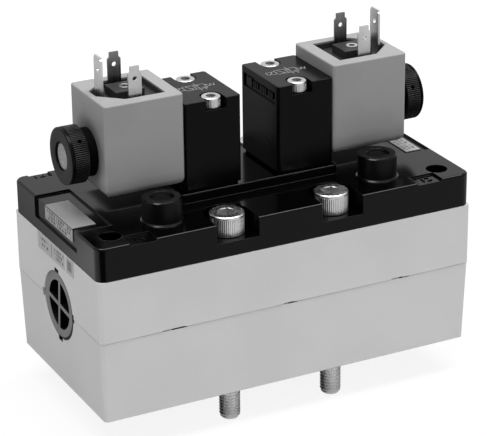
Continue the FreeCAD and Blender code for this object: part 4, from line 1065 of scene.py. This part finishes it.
def thread(work, bottom, top):
    """Threaded shank about Z whose first turns fade out towards the tip."""
    count = int((top - bottom) / THREAD_PITCH * THREAD_ROWS)
    rings = []
    for row in range(count + 1):
        rise = (top - bottom) * row / count
        started = min(rise / (THREAD_FIRST_TURNS * THREAD_PITCH), 1.0)
        cut = THREAD_FIRST_DEPTH + (1 - THREAD_FIRST_DEPTH) * started
        ring = []
        for step in range(THREAD_STEPS):
            phase = (rise / THREAD_PITCH - step / THREAD_STEPS) % 1.0
            crest = min(max((abs(2 * phase - 1) - THREAD_FLAT) / (1 - 2 * THREAD_FLAT), 0.0), 1.0)
            reach = THREAD_RADIUS - THREAD_DEPTH * ((1 - crest) * cut + THREAD_TIP_TAPER * (1 - started) ** 2)
            angle = math.tau * step / THREAD_STEPS
            ring.append(work.verts.new((reach * math.cos(angle), reach * math.sin(angle), bottom + rise)))
        rings.append(ring)
    for low, high in zip(rings, rings[1:]):
        for step in range(THREAD_STEPS):
            after = (step + 1) % THREAD_STEPS
            work.faces.new((low[step], low[after], high[after], high[step]))
    work.faces.new(list(reversed(rings[0])))
    work.faces.new(rings[-1])


def make_cap_screws(name, node, size):
    """Socket head cap screws with knurled heads at the places of a CAD node's four screws."""
    low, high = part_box(node)
    seat = -size["height"]
    tip = low.z - high.z
    core = size["radius"] - size["ridge"]
    collar = -size["round"] - 0.5 * size["ridge"] - HEAD_COLLAR
    mouth, sunk = SOCKET_MOUTH * size["socket"], SOCKET_CHAMFER * size["socket"]
    profile = [
        (0, seat), (core - HEAD_CHAMFER, seat), (core, seat + HEAD_CHAMFER), (core, collar - HEAD_COLLAR),
        (size["radius"], collar),
    ]
    profile += arc(size["radius"] - size["round"], -size["round"], size["round"], 0, 90, 8)
    profile += [(mouth + sunk, 0.0), (mouth, -sunk), (0, -sunk)]
    head = mesh_from("head", lambda work: turn(work, profile, 96))
    head = carve(head, hexagon_mesh(size["socket"], -size["depth"], OVERCUT))
    crease_edges(head, 32.0)
    ridges = KNURL.run(bpy.data.meshes.new("no_mesh"), {
        "Count": size["ridges"], "Radius": core, "Ridge Width": 0.8 * math.tau * core / size["ridges"],
        "Ridge Height": size["ridge"], "Bottom": seat + HEAD_CHAMFER,
        "Length": collar - seat - HEAD_RIDGE_MARGIN, "Material": FINISHES["screw_steel"],
    })
    threaded = tip + size["thread"]
    plain = [(0, threaded), (size["shank"], threaded), (size["shank"], seat), (0, seat)]
    parts = [head, ridges, mesh_from("shank", lambda work: turn(work, plain, 32))]
    if size["thread"]:
        parts.append(mesh_from("thread", lambda work: thread(work, tip, threaded), crease=60.0))
    mesh = CORNERS.run(joined(name, parts), {
        "Spacing X": high.x - low.x - 2 * size["radius"], "Spacing Y": high.y - low.y - 2 * size["radius"],
        "Height": high.z, "Material": FINISHES["screw_steel"],
    })
    mesh.transform(Matrix.Translation(((low.x + high.x) / 2, (low.y + high.y) / 2, 0)))
    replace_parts(add_piece(name, mesh, "screw_steel"), node)


def digits_mesh(text, size, height):
    """Raised digits centred on the origin, standing on Z nought."""
    curve = bpy.data.curves.new("digits", "FONT")
    curve.body = text
    curve.size = size
    curve.align_x = "CENTER"
    curve.align_y = "CENTER"
    curve.extrude = height / 2
    item = bpy.data.objects.new("digits", curve)
    bpy.context.scene.collection.objects.link(item)
    mesh = evaluated_mesh(item)
    bpy.data.objects.remove(item)
    mesh.transform(Matrix.Translation((0, 0, height / 2)))
    return mesh


def make_pocket_marks():
    """Raised digits in the cover's four marking pockets."""
    meshes = []
    for x, y, size, text in POCKET_MARKS:
        digits = digits_mesh(text, size, DIGIT_HEIGHT)
        digits.transform(Matrix.Translation((x, y, POCKET_FLOOR)))
        meshes.append(digits)
    add_piece("pocket_marks", joined("pocket_marks", meshes), "cover_black")


def slab(work, ring, bottom, top):
    """Closed slab over a ring of four (x, y) corners."""
    lower = [work.verts.new((x, y, bottom)) for x, y in ring]
    upper = [work.verts.new((x, y, top)) for x, y in ring]
    work.faces.new(list(reversed(lower)))
    work.faces.new(upper)
    for k in range(4):
        work.faces.new((lower[k], lower[(k + 1) % 4], upper[(k + 1) % 4], upper[k]))


def make_window_marks(side):
    """Row of raised blocks in the window of a pilot block's inner face."""
    low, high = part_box("pilot_body_" + side)
    inner, way = (high.x, -1) if side == "left" else (low.x, 1)
    floor = inner + way * WINDOW_DEPTH
    x0, x1 = sorted((floor, floor - way * WINDOW_RELIEF))

    def fill(work):
        for start, end, tall in WINDOW_BLOCKS:
            y0, y1, half = start * MM, end * MM, tall * MM / 2
            slab(work, ((x0, y0), (x1, y0), (x1, y1), (x0, y1)), WINDOW_MIDDLE - half, WINDOW_MIDDLE + half)

    add_piece("window_marks_" + side, mesh_from("window", fill), "pilot_black")


def ribbon(work, points, width, level):
    """Flat printed line along points, a little thick."""
    for start, end in zip(points, points[1:]):
        start, end = Vector(start), Vector(end)
        along = (end - start).normalized()
        across = Vector((-along.y, along.x)) * width / 2
        reach = along * width / 2
        ring = [start - reach - across, end + reach - across, end + reach + across, start - reach + across]
        slab(work, ring, level, level + PRINT_HEIGHT)


def make_symbol(side):
    """White line symbol of a solenoid valve printed on a pilot block."""
    middle = -SYMBOL_MIDDLE if side == "left" else SYMBOL_MIDDLE
    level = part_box("pilot_body_" + side)[1].z

    def fill(work):
        for line in SYMBOL_LINES:
            ribbon(work, [(middle + x * MM, y * MM) for x, y in line], PRINT_LINE, level)

    add_piece("symbol_" + side, mesh_from("symbol", fill), "print_white")


def make_turned_plug(side):
    """End plug as built, turned a little about its axis in its bayonet."""
    node = "end_plug_" + side
    low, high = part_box(node)
    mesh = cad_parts[node].data.copy()
    middle = Matrix.Translation((0, (low.y + high.y) / 2, (low.z + high.z) / 2))
    mesh.transform(middle @ Matrix.Rotation(math.radians(PLUG_TURN), 4, "X") @ middle.inverted())
    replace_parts(add_piece("turned_plug_" + side, mesh, "plug_grey"), node)


make_cap_screws("mounting_cap_screws", "mounting_screws", MOUNTING_SCREW)
make_cap_screws("pilot_cap_screws", "pilot_screws", PILOT_SCREW)
make_pocket_marks()
for side in ("left", "right"):
    make_ring_nut(side)
    make_turned_plug(side)
    make_window_marks(side)
    make_symbol(side)


def make_floor():
    """Pale floor that reads white to the camera and keeps a faint shadow."""
    finish = Finish("studio_floor")
    level = cad_box[0].z
    mesh = bpy.data.meshes.new("studio_floor")
    mesh.from_pydata(
        [(x * FLOOR_REACH, y * FLOOR_REACH, level) for x, y in ((-1, -1), (1, -1), (1, 1), (-1, 1))],
        [], [(0, 1, 2, 3)],
    )
    mesh.materials.append(finish.material)
    floor = bpy.data.objects.new("studio_floor", mesh)
    bpy.context.scene.collection.objects.link(floor)
    finish.surface(tone(FLOOR_TONE), 0.9, specular=0.0)
    along, depth = finish.axis("X"), finish.axis("Y")
    camera_ray, glossy_ray = finish.ray("Camera"), finish.ray("Glossy")
    ahead = finish.ramp(along, *FLOOR_CORNER_X, CORNER_FLOOR_MIRROR, FRONT_MIRROR)
    mirrored = finish.ramp(depth, *FLOOR_BACK_Y, ahead, BACK_FLOOR_MIRROR)
    beside = finish.fade(along, *FLOOR_SIDE_X) * finish.ramp(depth, *FLOOR_SIDE_Y)
    mirrored = mirrored + beside * finish.ramp(depth, *FLOOR_SIDE_TURN_Y, *SIDE_FLOOR_MIRROR)
    seen = finish.ramp(depth, *FLOOR_GLOW_Y, *FLOOR_GLOW)
    glow = finish.node("ShaderNodeEmission", None, {"Strength": glossy_ray * mirrored + camera_ray * seen})
    blend = finish.node("ShaderNodeMixShader", None, {
        0: camera_ray * FLOOR_WHITE + glossy_ray, 1: Signal(finish, finish.shader.outputs[0]), 2: glow,
    })
    finish.feed(finish.tree.nodes["Material Output"].inputs["Surface"], blend)


def make_sky():
    """Soft surround: white to the camera, bright behind the object and dimmer in front in reflections."""
    world = bpy.data.worlds.new("studio")
    bpy.context.scene.world = world
    world.use_nodes = True
    world.node_tree.nodes.clear()
    sky = ShaderTree(world.node_tree)
    way = sky.node("ShaderNodeTexCoord", output="Generated")
    along, depth = sky.part(way, "X"), sky.part(way, "Y")
    camera_ray, glossy_ray = sky.ray("Camera"), sky.ray("Glossy")
    mirrored = sky.ramp(depth, *SKY_MIRROR_Y, FRONT_MIRROR, 1.0)
    fill = sky.ramp(depth, *SKY_LIGHT_Y, *SKY_LIGHT) * sky.ramp(along, *SKY_LEFT_X, LEFT_SKY, 1.0)
    unseen = glossy_ray * mirrored + (1.0 - glossy_ray) * fill
    strength = camera_ray + (1.0 - camera_ray) * unseen
    background = sky.node("ShaderNodeBackground", None, {"Strength": strength})
    sky.node("ShaderNodeOutputWorld", None, {"Surface": background}, None)


def add_lamp(name, way, distance, size, power):
    """Wide soft lamp that looks at the object from a direction, its long side along X."""
    data = bpy.data.lights.new(name, "AREA")
    data.shape = "RECTANGLE"
    data.size, data.size_y = size
    data.energy = power
    back = way.normalized()
    over = back.cross(Vector((1, 0, 0))).normalized()
    side = over.cross(back)
    place = VIEW_AIM + back * distance
    lamp = bpy.data.objects.new(name, data)
    lamp.matrix_world = Matrix((
        (side.x, over.x, back.x, place.x),
        (side.y, over.y, back.y, place.y),
        (side.z, over.z, back.z, place.z),
        (0, 0, 0, 1),
    ))
    bpy.context.scene.collection.objects.link(lamp)


def make_camera():
    """Camera at the photograph's place and angle."""
    yaw, pitch, roll = (math.radians(angle) for angle in (VIEW_YAW, VIEW_PITCH, VIEW_ROLL))
    ahead = Vector((math.sin(yaw) * math.cos(pitch), math.cos(yaw) * math.cos(pitch), -math.sin(pitch)))
    level = ahead.cross(Vector((0, 0, 1))).normalized()
    above = level.cross(ahead)
    right = math.cos(roll) * level + math.sin(roll) * above
    up = math.cos(roll) * above - math.sin(roll) * level
    place = VIEW_AIM - VIEW_RANGE * ahead + VIEW_SLIDE[0] * right + VIEW_SLIDE[1] * up
    data = bpy.data.cameras.new("camera")
    data.sensor_fit = "HORIZONTAL"
    data.sensor_width = SENSOR
    data.lens = FOCAL_PIXELS / PHOTO_SIZE[0] * SENSOR
    data.shift_x = (PHOTO_SIZE[0] / 2 - OPTICAL_CENTRE[0]) / PHOTO_SIZE[0]
    data.shift_y = (OPTICAL_CENTRE[1] - PHOTO_SIZE[1] / 2) / PHOTO_SIZE[0]
    data.clip_start = 0.05
    data.clip_end = 20.0
    camera = bpy.data.objects.new("camera", data)
    camera.matrix_world = Matrix((
        (right.x, up.x, -ahead.x, place.x),
        (right.y, up.y, -ahead.y, place.y),
        (right.z, up.z, -ahead.z, place.z),
        (0, 0, 0, 1),
    ))
    bpy.context.scene.collection.objects.link(camera)
    bpy.context.scene.camera = camera


make_floor()
make_sky()
add_lamp("key_lamp", KEY_WAY, KEY_RANGE, KEY_SIZE, KEY_POWER)
make_camera()
bpy.context.scene.view_settings.view_transform = "Standard"
